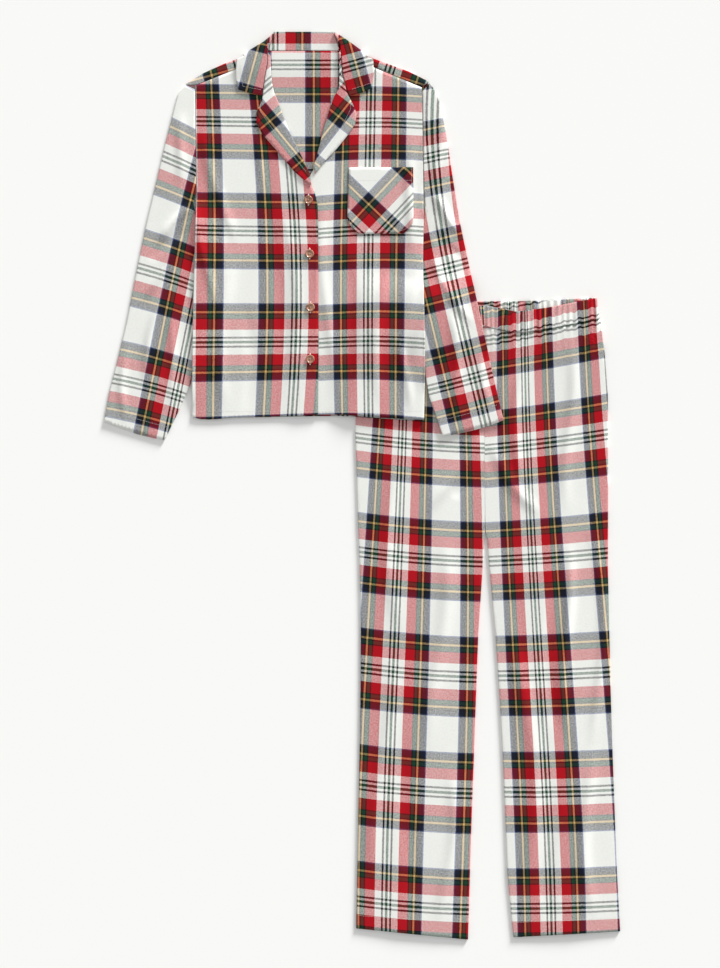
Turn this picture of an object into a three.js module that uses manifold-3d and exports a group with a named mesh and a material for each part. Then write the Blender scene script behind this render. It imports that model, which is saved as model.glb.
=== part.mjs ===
// Flannel pyjama set laid out flat: a buttoned shirt with a notched collar over a pair of trousers.
// Millimetres, +Z up, the floor at z = 0, the garments' length along +Y.
import * as THREE from "three";
import { mergeVertices } from "three/addons/utils/BufferGeometryUtils.js";
import Module from "manifold-3d";

// Cloth and the small gaps between what lies together.
const CLOTH = 1.3;
const DOUBLED = 1.6;
const BAND_WALL = 2.0;
const SEAM_GAP = 0.3;
const LAY_GAP = 0.8;

// Height of a laid tube, from its underside to the face of its upper sheet.
const TUBE_HEIGHT = 4.4;
const LEG_TOP_HEIGHT = 6.4;
const BAND_HEIGHT = 8.4;
const LEG_LOFT = 1.8;
const SLEEVE_LOFT = 1.2;

// Where each garment's own origin lies: shirt at its hem's middle, trousers between the leg hems.
const SHIRT = { x: -89.25, y: 119.85 };
const TROUSERS = { x: 212.5, y: -760.75 };

// How far one piece lifts another that lies over it, and how wide the slope beside it is.
const OVER_TROUSERS = 5.6;
const OVER_BAND = 9.5;
const OVER_SLEEVE = 5.9;
const OVER_FRONT = 1.8;
const OVER_FALL = 2.4;
const WIDE_SLOPE = 38;
const SIDE_SLOPE = 32;
const FRONT_SLOPE = 20;
const NECK_SLOPE = 26;

// Shirt body: its two side edges, up from the hem.
const BODY_SIDES = [
  { up: -6, left: -196, right: 198 },
  { up: 92, left: -195.5, right: 199.5 },
  { up: 185, left: -194, right: 198 },
  { up: 255, left: -192, right: 196 },
  { up: 325, left: -190, right: 197 },
  { up: 381, left: -188, right: 197 },
  { up: 563, left: -190, right: 194.2 },
];
const UNDERARM_UP = 379;

// Hem of the fronts and of the back, across the shirt.
const HEM = [
  { x: -200, front: 1, back: 0 },
  { x: -188, front: -3, back: -5 },
  { x: -153, front: -4, back: -6.5 },
  { x: -145, front: -1.7, back: -3 },
  { x: -95, front: -0.5, back: -1.5 },
  { x: -1, front: 2, back: 0 },
  { x: 19, front: 4.4, back: 1 },
  { x: 62, front: 3.4, back: 1 },
  { x: 99, front: -0.5, back: -1.5 },
  { x: 149, front: -3, back: -4 },
  { x: 200, front: -5, back: -6 },
];

// Shoulders: the fold that is the outline, and the seam on the front, from the left tip to the right.
const SHOULDER_FOLD = [
  { x: -206.5, y: 566 },
  { x: -174, y: 586 },
  { x: -145, y: 599 },
  { x: -120, y: 608 },
  { x: -72, y: 624 },
];
const SHOULDER_FOLD_RIGHT = [
  { x: 58, y: 628 },
  { x: 110, y: 609 },
  { x: 152, y: 595 },
  { x: 185, y: 582 },
  { x: 206, y: 570 },
];
const SHOULDER_SEAM = [
  { x: -190, y: 563 },
  { x: -66, y: 612 },
];
const SHOULDER_SEAM_RIGHT = [
  { x: 58, y: 618 },
  { x: 194.2, y: 559.5 },
];
const NECK_SEAM_UP = 622;

// Roll lines of the lapels and their outer edges, going up the neckline.
const ROLL_RIGHT = [
  { x: 4.6, y: 412 },
  { x: -3.2, y: 428 },
  { x: -13.6, y: 450.5 },
  { x: -27.5, y: 478 },
  { x: -39, y: 506 },
  { x: -50, y: 536 },
  { x: -59.5, y: 558 },
  { x: -62.5, y: 603 },
  { x: -62.5, y: 619 },
];
const EDGE_RIGHT = [
  { x: 6.5, y: 393 },
  { x: -19, y: 412 },
  { x: -53.5, y: 454 },
  { x: -71, y: 473 },
  { x: -83, y: 488.5 },
  { x: -88, y: 504 },
  { x: -86.5, y: 517 },
  { x: -77, y: 537 },
  { x: -76.2, y: 545.5 },
  { x: -72.7, y: 571 },
  { x: -69.3, y: 590 },
  { x: -67.1, y: 600 },
  { x: -66.8, y: 618 },
];
const ROLL_LEFT = [
  { x: 10, y: 425 },
  { x: 21, y: 463 },
  { x: 26.4, y: 487 },
  { x: 34.9, y: 513 },
  { x: 43.7, y: 541.5 },
  { x: 53, y: 555.4 },
  { x: 54.4, y: 585 },
  { x: 53, y: 619 },
];
const EDGE_LEFT = [
  { x: 13, y: 412.5 },
  { x: 28, y: 433 },
  { x: 47, y: 452 },
  { x: 64.4, y: 473 },
  { x: 74.8, y: 487 },
  { x: 84.3, y: 502.5 },
  { x: 83.5, y: 519 },
  { x: 76.5, y: 532 },
  { x: 69.5, y: 544 },
  { x: 64.7, y: 558 },
  { x: 57.9, y: 584 },
  { x: 57, y: 600 },
  { x: 56.2, y: 618 },
];

// Fronts' edges below the neckline: the upper one shows, the lower one lies beneath it.
const PLACKET_EDGE = [
  { x: 18, y: 4.4 },
  { x: 19, y: 120 },
  { x: 18, y: 350 },
  { x: 16.5, y: 368 },
  { x: 11, y: 384 },
  { x: 4, y: 397 },
];
const UNDER_EDGE = [
  { x: -12, y: 2 },
  { x: -12, y: 120 },
  { x: -11, y: 385 },
];
const FRONT_BEHIND_ROLL = 3.2;

// Collar wings in the order top, bottom, outer side, inner side.
const WING_LEFT = {
  top: [
    { x: -119.5, y: 607 },
    { x: -106, y: 620 },
    { x: -80, y: 633 },
    { x: -58.5, y: 651 },
  ],
  bottom: [
    { x: -117, y: 555.5 },
    { x: -97, y: 548.5 },
    { x: -77.6, y: 545.8 },
  ],
  outer: [
    { x: -119.5, y: 607 },
    { x: -122, y: 588 },
    { x: -121, y: 568 },
    { x: -117, y: 555.5 },
  ],
  inner: [
    { x: -58.5, y: 651 },
    { x: -68, y: 621 },
    { x: -68.6, y: 600 },
    { x: -71, y: 588 },
    { x: -74, y: 571 },
    { x: -77.6, y: 545.8 },
  ],
};
const WING_RIGHT = {
  top: [
    { x: 111.5, y: 607 },
    { x: 90, y: 624 },
    { x: 68, y: 640 },
    { x: 46, y: 654 },
  ],
  bottom: [
    { x: 109.5, y: 559 },
    { x: 92, y: 549 },
    { x: 71, y: 544.3 },
  ],
  outer: [
    { x: 111.5, y: 607 },
    { x: 113, y: 584 },
    { x: 109.5, y: 559 },
  ],
  inner: [
    { x: 46, y: 654 },
    { x: 55, y: 634 },
    { x: 58, y: 612 },
    { x: 59.2, y: 585 },
    { x: 66.2, y: 558 },
    { x: 71, y: 544.3 },
  ],
};
const COLLAR_ROLL_UP = 654.5;
const ROLL_HEIGHT = 4.4;
const STAND = { rollLeft: -57.2, rollRight: 44.7, seamLeft: -67, seamRight: 54.5 };
const FALL_EDGE = [
  { x: -112, y: 604 },
  { x: -80, y: 598 },
  { x: -40, y: 595 },
  { x: 30, y: 594 },
  { x: 75, y: 598 },
  { x: 100, y: 606 },
];

// Sleeves, from the armhole to the cuff: outer fold and inner edge of each section.
const SLEEVE_RIGHT = [
  { at: 0, outX: -207.8, outY: 563.4, inX: -189, inY: 380 },
  { at: 0.5, outX: -219, outY: 551, inX: -191.5, inY: 371 },
  { at: 1, outX: -226, outY: 524, inX: -193.5, inY: 362 },
  { at: 2, outX: -240.5, outY: 467.5, inX: -190, inY: 344 },
  { at: 3, outX: -255, outY: 405, inX: -180, inY: 318 },
  { at: 4, outX: -271.7, outY: 336, inX: -174, inY: 284 },
  { at: 5, outX: -290, outY: 247.7, inX: -176, inY: 216 },
  { at: 6, outX: -307, outY: 160, inX: -184.5, inY: 139 },
  { at: 7, outX: -325, outY: 85.5, inX: -199, inY: 56 },
  { at: 8, outX: -335, outY: 48, inX: -214, inY: 20.4 },
  { at: 9, outX: -346, outY: -9, inX: -243, inY: -39.6 },
];
const SLEEVE_LEFT = [
  { at: 0, outX: 207.6, outY: 567, inX: 198, inY: 380 },
  { at: 0.5, outX: 216, outY: 555, inX: 199.2, inY: 371 },
  { at: 1, outX: 225.8, outY: 531, inX: 200, inY: 361 },
  { at: 2, outX: 237.7, outY: 467, inX: 197.4, inY: 340 },
  { at: 3, outX: 244.8, outY: 419, inX: 188.5, inY: 319 },
  { at: 4, outX: 258, outY: 335, inX: 181, inY: 284 },
  { at: 5, outX: 276.6, outY: 247.7, inX: 179, inY: 219 },
  { at: 6, outX: 296.5, outY: 155.4, inX: 186, inY: 141 },
  { at: 7, outX: 309, outY: 98, inX: 199, inY: 76.5 },
  { at: 8, outX: 319, outY: 53, inX: 206, inY: 36 },
  { at: 9, outX: 333, outY: -6, inX: 230, inY: -33 },
];
// The sleeve cap turns inward at the top of the armhole, on the front only.
const CAP_TURN_RIGHT = [
  { at: 0, x: -191, y: 560.6 },
  { at: 0.5, x: -207, y: 536 },
];
const CAP_TURN_LEFT = [
  { at: 0, x: 195.2, y: 556.6 },
  { at: 0.5, x: 207, y: 537 },
];
const CAP_TURN_SHARE = 0.1;
const CUFF_PEEK = 3.5;
const UNDERARM_BOW = 9;

// Patch pocket: its outline from the top left corner, going round.
const POCKET_TOP_UP = 423.5;
const POCKET_SIDES = [
  { up: 311, left: 86, right: 163 },
  { up: 319, left: 77.5, right: 171.5 },
  { up: 328, left: 71, right: 177.7 },
  { up: 340, left: 67.9, right: 179.6 },
  { up: 380, left: 68.6, right: 179.9 },
  { up: 423.5, left: 70.5, right: 179.4 },
];

// Buttons, up the front edge.
const BUTTONS = [
  { x: 4.6, y: 98 },
  { x: 5, y: 186 },
  { x: 3.7, y: 277 },
  { x: 1.7, y: 368.5 },
];
const BUTTON_RADIUS = 7.5;
const BUTTON_RIM = 1.6;
const BUTTON_HEIGHT = 2.6;
const BUTTON_DISH = 0.9;
const BUTTON_EDGE = 0.9;
const BUTTON_ROUND = 0.6;
const BUTTON_HOLE_RADIUS = 0.85;
const BUTTON_HOLE_OFFSET = 1.55;
const BUTTON_SEGMENTS = 16;
const HOLE_SEGMENTS = 6;

// Trousers: outer and inner edges of both legs, up from the hems.
const LEG_LEFT_OUTER = [
  { up: 0, x: -219.3 },
  { up: 109, x: -217 },
  { up: 214, x: -215 },
  { up: 342, x: -212.5 },
  { up: 467.5, x: -211 },
  { up: 575, x: -211 },
  { up: 634, x: -213 },
  { up: 709, x: -216 },
  { up: 782, x: -217.6 },
  { up: 855, x: -221 },
  { up: 918, x: -217 },
  { up: 1003, x: -205 },
  { up: 1045, x: -197 },
  { up: 1083, x: -192 },
];
const LEG_RIGHT_OUTER = [
  { up: 0, x: 229.8 },
  { up: 131, x: 222.7 },
  { up: 257, x: 218.6 },
  { up: 384, x: 214 },
  { up: 510, x: 211 },
  { up: 629, x: 208.5 },
  { up: 745, x: 209 },
  { up: 918, x: 208.5 },
  { up: 1003, x: 202 },
  { up: 1045, x: 196 },
  { up: 1083, x: 192 },
];
const LEG_LEFT_INNER = [
  { up: -7, x: -29 },
  { up: 66, x: -27 },
  { up: 214, x: -22.4 },
  { up: 384, x: -16 },
  { up: 467, x: -13.6 },
  { up: 552, x: -9.7 },
  { up: 598, x: -5.6 },
  { up: 678, x: -1.6 },
  { up: 690, x: -0.3 },
  { up: 1083, x: -2.2 },
];
const LEG_RIGHT_INNER = [
  { up: 0, x: 48 },
  { up: 109, x: 37.4 },
  { up: 214, x: 34 },
  { up: 299, x: 30.6 },
  { up: 384, x: 26 },
  { up: 490, x: 20 },
  { up: 575, x: 11.4 },
  { up: 629, x: 7 },
  { up: 678, x: 3 },
  { up: 690, x: 0 },
  { up: 1083, x: -1.9 },
];
const LEG_LEFT_HEM = { outer: 12, inner: -7 };
const LEG_RIGHT_HEM = { outer: 7, inner: -3 };
const CROTCH_UP = 690;
const WAIST = [
  { x: -192, front: 1083, back: 1083 },
  { x: -117, front: 1070, back: 1080 },
  { x: -53, front: 1060, back: 1077 },
  { x: 0, front: 1070, back: 1077 },
  { x: 53, front: 1059, back: 1077 },
  { x: 105, front: 1066, back: 1079 },
  { x: 192, front: 1083, back: 1083 },
];
const BAND_DEPTH = 36;
const BAND_SPREAD = 1.024;
const BAND_GAP = 0.5;
const FRONT_GATHERS = 31;
const BACK_GATHERS = 31;
const FRONT_GATHER_DEPTH = 1.5;
const BACK_GATHER_DEPTH = 1.1;
const POINTS_PER_GATHER = 4;

const mix = (a, b, t) => a + (b - a) * t;
const clamp = (t) => Math.min(1, Math.max(0, t));
const ease = (t) => clamp(t) ** 2 * (3 - 2 * clamp(t));

// Value of a table's column where its key column has the value given.
function tableAt(table, key, value, column) {
  let row = 1;
  while (row < table.length - 1 && table[row][key] < value) row += 1;
  const low = table[row - 1];
  const high = table[row];
  return mix(low[column], high[column], clamp((value - low[key]) / (high[key] - low[key])));
}

// Point at a share of a line's length.
function lineAt(line, share) {
  const lengths = [0];
  for (let i = 1; i < line.length; i += 1) {
    lengths.push(lengths[i - 1] + Math.hypot(line[i].x - line[i - 1].x, line[i].y - line[i - 1].y));
  }
  const wanted = clamp(share) * lengths[line.length - 1];
  let i = 1;
  while (i < line.length - 1 && lengths[i] < wanted) i += 1;
  const t = (wanted - lengths[i - 1]) / (lengths[i] - lengths[i - 1]);
  return { x: mix(line[i - 1].x, line[i].x, t), y: mix(line[i - 1].y, line[i].y, t) };
}

// Point inside four bounding curves, each a function of its share.
function between(bounds, u, v) {
  const { bottom, top, left, right } = bounds;
  const point = {};
  for (const axis of ["x", "y"]) {
    const along = mix(bottom(u)[axis], top(u)[axis], v);
    const across = mix(left(v)[axis], right(v)[axis], u);
    const low = mix(bottom(0)[axis], bottom(1)[axis], u);
    const high = mix(top(0)[axis], top(1)[axis], u);
    point[axis] = along + across - mix(low, high, v);
  }
  return point;
}

// Distance of a point outside a closed outline; zero inside it.
function distanceOutside(outline, point) {
  let inside = false;
  let nearest = Infinity;
  outline.forEach((a, i) => {
    const b = outline[(i + 1) % outline.length];
    if (a.y > point.y !== b.y > point.y) {
      const crossing = a.x + ((point.y - a.y) / (b.y - a.y)) * (b.x - a.x);
      if (point.x < crossing) inside = !inside;
    }
    const dx = b.x - a.x;
    const dy = b.y - a.y;
    const t = clamp(((point.x - a.x) * dx + (point.y - a.y) * dy) / (dx * dx + dy * dy));
    nearest = Math.min(nearest, Math.hypot(point.x - a.x - t * dx, point.y - a.y - t * dy));
  });
  return inside ? 0 : nearest;
}

// Lift over something lying beneath: full on its outline and a margin round it, then sloping off.
function lift(outline, height, slope, margin, point) {
  return height * (1 - ease((distanceOutside(outline, point) - margin) / slope));
}

const offset = (point, by, sign) => ({ x: point.x + sign * by.x, y: point.y + sign * by.y });
const inShirt = (point) => offset(offset(point, TROUSERS, 1), SHIRT, -1);

// What lies beneath the shirt, in the shirt's own frame.
const TROUSERS_BENEATH = [
  { x: -222, y: 700 },
  { x: -222, y: 855 },
  { x: -217, y: 918 },
  { x: -205, y: 1003 },
  { x: -192, y: 1085 },
  { x: 192, y: 1085 },
  { x: 202, y: 1003 },
  { x: 209, y: 918 },
  { x: 209, y: 700 },
].map(inShirt);
const BAND_BENEATH = [
  { x: -199, y: 1018 },
  { x: -192, y: 1085 },
  { x: 192, y: 1085 },
  { x: 199, y: 1018 },
].map(inShirt);
const tuckOutline = (table, side) => [
  ...table.filter((row) => row.at >= 2 && row.at <= 7).map((row) => ({ x: row.inX, y: row.inY })),
  { x: side * 240, y: 76 },
  { x: side * 240, y: 340 },
];
const TUCK_RIGHT = tuckOutline(SLEEVE_RIGHT, -1);
const TUCK_LEFT = tuckOutline(SLEEVE_LEFT, 1);
const UNDER_FRONT = [
  { x: -12, y: -10 },
  { x: 40, y: -10 },
  { x: 40, y: 390 },
  { x: 14, y: 412 },
  { x: -3, y: 412 },
];
const FALL_BENEATH = [
  ...FALL_EDGE,
  { x: 96, y: 618 },
  { x: 46, y: 655 },
  { x: -58, y: 655 },
  { x: -106, y: 619 },
];

const overTrousers = (p) =>
  lift(TROUSERS_BENEATH, OVER_TROUSERS, WIDE_SLOPE, 5, p) +
  lift(BAND_BENEATH, OVER_BAND - OVER_TROUSERS, WIDE_SLOPE, 5, p);
const overSleeves = (p) =>
  lift(TUCK_RIGHT, OVER_SLEEVE, SIDE_SLOPE, 4, p) + lift(TUCK_LEFT, OVER_SLEEVE, SIDE_SLOPE, 4, p);
const overFall = (p) => lift(FALL_BENEATH, OVER_FALL, NECK_SLOPE, 10, p);
const overUnderFront = (p) => lift(UNDER_FRONT, OVER_FRONT, FRONT_SLOPE, 5, p);
const bodyLift = (p) => overTrousers(p) + overSleeves(p) + overFall(p);

// Rounded edge of a laid tube, in shares of its radius: in from the edge, and down from the face.
const EDGE_PROFILE = [
  { inward: 0, drop: 1 },
  { inward: 0, drop: 0.58 },
  { inward: 0.3, drop: 0.17 },
  { inward: 1, drop: 0 },
];

// Stations across a panel: its rounded edges, where it has them, and the shares given between.
function stations(width, radius, shares, leftRound, rightRound) {
  const step = radius / width;
  const edge = EDGE_PROFILE.map((p) => ({
    share: p.inward * step,
    distance: p.inward * radius,
    drop: Math.min(p.drop * radius, radius - SEAM_GAP / 2),
  }));
  const flat = (u) => ({ u, left: 0, right: 0 });
  const left = edge.map((p) => ({ u: p.share, left: p.drop, right: 0, fromOuter: p.distance }));
  const right = edge.map((p) => ({ u: 1 - p.share, left: 0, right: p.drop, fromInner: p.distance }));
  return [
    ...(leftRound ? left : [flat(0)]),
    ...shares.filter((s) => s > step && s < 1 - step).map(flat),
    ...(rightRound ? right.reverse() : [flat(1)]),
  ];
}

function indexedGeometry(coordinates, indices) {
  const geometry = new THREE.BufferGeometry();
  geometry.setAttribute("position", new THREE.Float32BufferAttribute(coordinates, 3));
  geometry.setIndex(indices);
  return geometry;
}

// A closed wall of one thickness behind the faces of its patches; every free edge is closed.
function clothWall(patches, thickness, flip) {
  const points = [];
  const known = new Map();
  const triangles = [];
  const indexOf = (p) => {
    const key = [p.x, p.y, p.z].map((value) => Math.round(value * 1000)).join(",");
    if (!known.has(key)) {
      known.set(key, points.length);
      points.push(new THREE.Vector3(p.x, p.y, p.z));
    }
    return known.get(key);
  };
  const addTriangle = (a, b, c) => {
    if (a !== b && b !== c && a !== c) triangles.push(flip ? [a, c, b] : [a, b, c]);
  };
  for (const rows of patches) {
    const indices = rows.map((row) => row.map(indexOf));
    for (let j = 0; j + 1 < indices.length; j += 1) {
      for (let i = 0; i + 1 < indices[j].length; i += 1) {
        const [a, b] = [indices[j][i], indices[j][i + 1]];
        const [d, c] = [indices[j + 1][i], indices[j + 1][i + 1]];
        if (points[a].distanceTo(points[c]) <= points[b].distanceTo(points[d])) {
          addTriangle(a, b, c);
          addTriangle(a, c, d);
        } else {
          addTriangle(a, b, d);
          addTriangle(b, c, d);
        }
      }
    }
  }
  const normals = points.map(() => new THREE.Vector3());
  const edges = new Set();
  for (const [a, b, c] of triangles) {
    const corners = [a, b, c].map((index) => points[index]);
    corners.forEach((corner, i) => {
      const one = corners[(i + 1) % 3].clone().sub(corner);
      const two = corners[(i + 2) % 3].clone().sub(corner);
      const turn = one.angleTo(two);
      normals[[a, b, c][i]].addScaledVector(one.cross(two).normalize(), turn);
    });
    [[a, b], [b, c], [c, a]].forEach(([from, to]) => edges.add(`${from},${to}`));
  }
  const count = points.length;
  const all = [...points];
  points.forEach((p, i) => all.push(p.clone().addScaledVector(normals[i].normalize(), -thickness)));
  const faces = [];
  for (const [a, b, c] of triangles) {
    faces.push([a, b, c], [a + count, c + count, b + count]);
  }
  for (const edge of edges) {
    const [from, to] = edge.split(",").map(Number);
    if (!edges.has(`${to},${from}`)) {
      faces.push([to, from, from + count], [to, from + count, to + count]);
    }
  }
  return indexedGeometry(all.flatMap((p) => [p.x, p.y, p.z]), faces.flat());
}

// One laid panel: plan position from its bounds, height from the function given.
function panel(bounds, rowShares, shares, rounds, radiusAt, heightAt) {
  return rowShares.map((v) => {
    const width = Math.abs(bounds.right(v).x - bounds.left(v).x);
    const radius = radiusAt(v);
    return stations(width, radius, shares, rounds.left, rounds.right).map(({ u, left, right }) => {
      const plan = between(bounds, u, v);
      const drop = (left ? left * rounds.left(plan.y) : 0) + (right ? right * rounds.right(plan.y) : 0);
      return { ...plan, z: heightAt(plan, drop, u) };
    });
  });
}

const steps = (count, from = 0, to = 1) =>
  Array.from({ length: count + 1 }, (_, i) => mix(from, to, i / count));
const sideClosed = (up) => ease((UNDERARM_UP + 4 - up) / 22);

// Shirt back: the sheet on the floor, then a strip of it over each shoulder fold to the front seam.
const hemLine = (fromX, toX, column) => (u) => {
  const x = mix(fromX, toX, u);
  return { x, y: tableAt(HEM, "x", x, column) };
};
const bodyEdge = (side, endX, endY, startY) => (v) => {
  const y = mix(startY, endY, v);
  const x = tableAt(BODY_SIDES, "up", Math.min(y, UNDERARM_UP), side);
  return { x: y > UNDERARM_UP ? mix(x, endX, (y - UNDERARM_UP) / (endY - UNDERARM_UP)) : x, y };
};
const FOLD_RADIUS = TUBE_HEIGHT / 2;
const inwardOf = (line, share, side) => {
  const a = lineAt(line, share - 0.02);
  const b = lineAt(line, share + 0.02);
  const length = Math.hypot(b.x - a.x, b.y - a.y);
  return { x: (side * (b.y - a.y)) / length, y: (-side * (b.x - a.x)) / length };
};
const SHOULDER_COLUMNS = [0, 0.24, 0.5, 0.76, 1];
const COLLAR_GAP = 1.1;
const foldSide = (fold, share) => {
  const edge = lineAt(fold, share);
  const inward = inwardOf(fold, share, 1);
  return { edge, inward };
};
function backTopRow() {
  const row = [];
  const inset = ({ edge, inward }) => offset(edge, inward, FOLD_RADIUS);
  SHOULDER_COLUMNS.forEach((s) => row.push(inset(foldSide(SHOULDER_FOLD, s))));
  steps(3).forEach((s) => row.push({ x: mix(-69, 55, s), y: NECK_SEAM_UP }));
  SHOULDER_COLUMNS.forEach((s) => row.push(inset(foldSide(SHOULDER_FOLD_RIGHT, s))));
  return row;
}
const FRONT_ROWS = [
  ...steps(12, 0, 0.42), 0.49, 0.55, 0.585, 0.615, 0.65, 0.68, 0.74, 0.8, 0.86, 0.9, 0.93, 0.965, 1,
];
const FRONT_SIDE_FROM = -4.9;
const FRONT_SIDE_TO = SHOULDER_SEAM_RIGHT[1].y;
function shirtBack() {
  const top = backTopRow();
  const width = top[top.length - 1].x - top[0].x;
  const topShares = top.map((p) => (p.x - top[0].x) / width);
  const bounds = {
    bottom: hemLine(-196, 198, "back"),
    top: (u) => {
      let i = 1;
      while (i < top.length - 1 && topShares[i] < u) i += 1;
      const t = clamp((u - topShares[i - 1]) / (topShares[i] - topShares[i - 1]));
      return { x: mix(top[i - 1].x, top[i].x, t), y: mix(top[i - 1].y, top[i].y, t) };
    },
    left: bodyEdge("left", top[0].x, top[0].y, 0),
    right: bodyEdge("right", top[top.length - 1].x, top[top.length - 1].y, -6),
  };
  const sideFrom = bounds.right(0).y;
  const sideTo = bounds.right(1).y;
  const rowShares = FRONT_ROWS.map((v) => {
    const up = mix(FRONT_SIDE_FROM, FRONT_SIDE_TO, v);
    return v === 0 || v === 1 ? v : (up - sideFrom) / (sideTo - sideFrom);
  });
  const sheet = panel(
    bounds,
    rowShares,
    [...topShares.slice(1, -1), 0.035, 0.125, 0.68, 0.77, 0.86, 0.96].sort((a, b) => a - b),
    { left: sideClosed, right: sideClosed },
    () => FOLD_RADIUS,
    (plan, drop) => bodyLift(plan) + drop,
  );
  const lastRow = sheet[sheet.length - 1];
  const flap = (fold, seam, side) => {
    const columns = lastRow.filter((p) => (side < 0 ? p.x < fold[4].x + 1 : p.x > fold[0].x - 1.5));
    const rows = [columns];
    const shareOf = (p) => clamp((p.x - fold[0].x) / (fold[4].x - fold[0].x));
    for (const turn of [30, 60, 90, 120, 150, 180].map((degrees) => (degrees * Math.PI) / 180)) {
      rows.push(columns.map((p) => {
        const { inward } = foldSide(fold, shareOf(p));
        const out = Math.sin(turn) * FOLD_RADIUS;
        const rise = (1 - Math.cos(turn)) * FOLD_RADIUS;
        return { x: p.x - inward.x * out, y: p.y - inward.y * out, z: p.z + rise };
      }));
    }
    const crown = rows[rows.length - 1];
    for (const t of [0.5, 1]) {
      rows.push(crown.map((p, i) => {
        const end = lineAt(seam, i / (crown.length - 1));
        const plan = { x: mix(p.x, end.x, t), y: mix(p.y, end.y + 2 * SEAM_GAP, t) };
        return { ...plan, z: TUBE_HEIGHT + bodyLift(plan) };
      }));
    }
    return rows;
  };
  const flapRight = flap(SHOULDER_FOLD, SHOULDER_SEAM, -1);
  const flapLeft = flap(SHOULDER_FOLD_RIGHT, SHOULDER_SEAM_RIGHT, 1);
  return clothWall([sheet, flapRight, flapLeft], CLOTH, true);
}

// Shirt fronts: each from its hem to its shoulder seam, and from the side to the front edge.
const frontEdge = (below, roll, side) => {
  const line = [...below, ...roll.map((p) => ({ x: p.x + side * FRONT_BEHIND_ROLL, y: p.y }))];
  const last = line[line.length - 1];
  last.y = Math.min(last.y, side < 0 ? 612 : 616.5);
  return line;
};
const RIGHT_FRONT_EDGE = frontEdge(PLACKET_EDGE, ROLL_RIGHT, -1);
const LEFT_FRONT_EDGE = frontEdge(UNDER_EDGE, ROLL_LEFT, 1);
const upLine = (line) => (v) => {
  const y = mix(line[0].y, line[line.length - 1].y, v);
  return { x: tableAt(line, "y", y, "x"), y };
};
const frontSide = (side, endUp) => (v) => {
  const y = mix(tableAt(HEM, "x", side === "left" ? -196 : 198, "front"), endUp, v);
  return { x: tableAt(BODY_SIDES, "up", y, side), y };
};
const frontHeight = (extra) => (plan, drop) => TUBE_HEIGHT + bodyLift(plan) + extra(plan) - drop;
function frontRight() {
  const bounds = {
    bottom: hemLine(-196, 18, "front"),
    top: (u) => lineAt(SHOULDER_SEAM, u),
    left: frontSide("left", SHOULDER_SEAM[0].y),
    right: upLine(RIGHT_FRONT_EDGE),
  };
  const shares = [0.06, 0.12, 0.18, 0.34, 0.48, 0.6, 0.7, 0.78, 0.84, 0.9];
  const height = frontHeight(overUnderFront);
  const rows = panel(bounds, FRONT_ROWS, shares, { left: sideClosed }, () => FOLD_RADIUS, height);
  return clothWall([rows], CLOTH, false);
}
function frontLeft() {
  const bounds = {
    bottom: hemLine(-12, 198, "front"),
    top: (u) => lineAt(SHOULDER_SEAM_RIGHT, u),
    left: upLine(LEFT_FRONT_EDGE),
    right: frontSide("right", SHOULDER_SEAM_RIGHT[1].y),
  };
  const shares = [0.12, 0.24, 0.36, 0.43, 0.5, 0.57, 0.64, 0.71, 0.78, 0.85, 0.92];
  const height = frontHeight(() => 0);
  const rows = panel(bounds, FRONT_ROWS, shares, { right: sideClosed }, () => FOLD_RADIUS, height);
  return clothWall([rows], CLOTH, false);
}

// Lapel and facing: lies on the front and turns down over the neckline's edge.
const TURN_RADIUS = 1.9;
const TURN_DEPTH = 1.1;
const TURN_PROFILE = [
  { inward: 1, drop: 0 },
  { inward: 0.5, drop: 0.134 },
  { inward: 0.134, drop: 0.5 },
  { inward: 0, drop: 1 },
  { inward: 0, drop: 1 + TURN_DEPTH / TURN_RADIUS },
];
function lapel(roll, edge, side, extra) {
  const rows = steps(13).map((v) => {
    const outer = lineAt(edge, v);
    const inner = lineAt(roll, v);
    const width = Math.hypot(inner.x - outer.x, inner.y - outer.y);
    const flat = [0, 0.33, 0.66].map((u) => ({ u, drop: 0 }));
    const turn = TURN_PROFILE.map((p) => ({
      u: 1 - (p.inward * TURN_RADIUS) / width,
      drop: p.drop * TURN_RADIUS,
    }));
    return [...flat, ...turn].map(({ u, drop }) => {
      const plan = { x: mix(outer.x, inner.x, u), y: mix(outer.y, inner.y, u) };
      const lifted = TUBE_HEIGHT + LAY_GAP + DOUBLED + overFall(plan) + extra(plan);
      return { ...plan, z: lifted - drop };
    });
  });
  return clothWall([rows], DOUBLED, side > 0);
}

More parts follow.
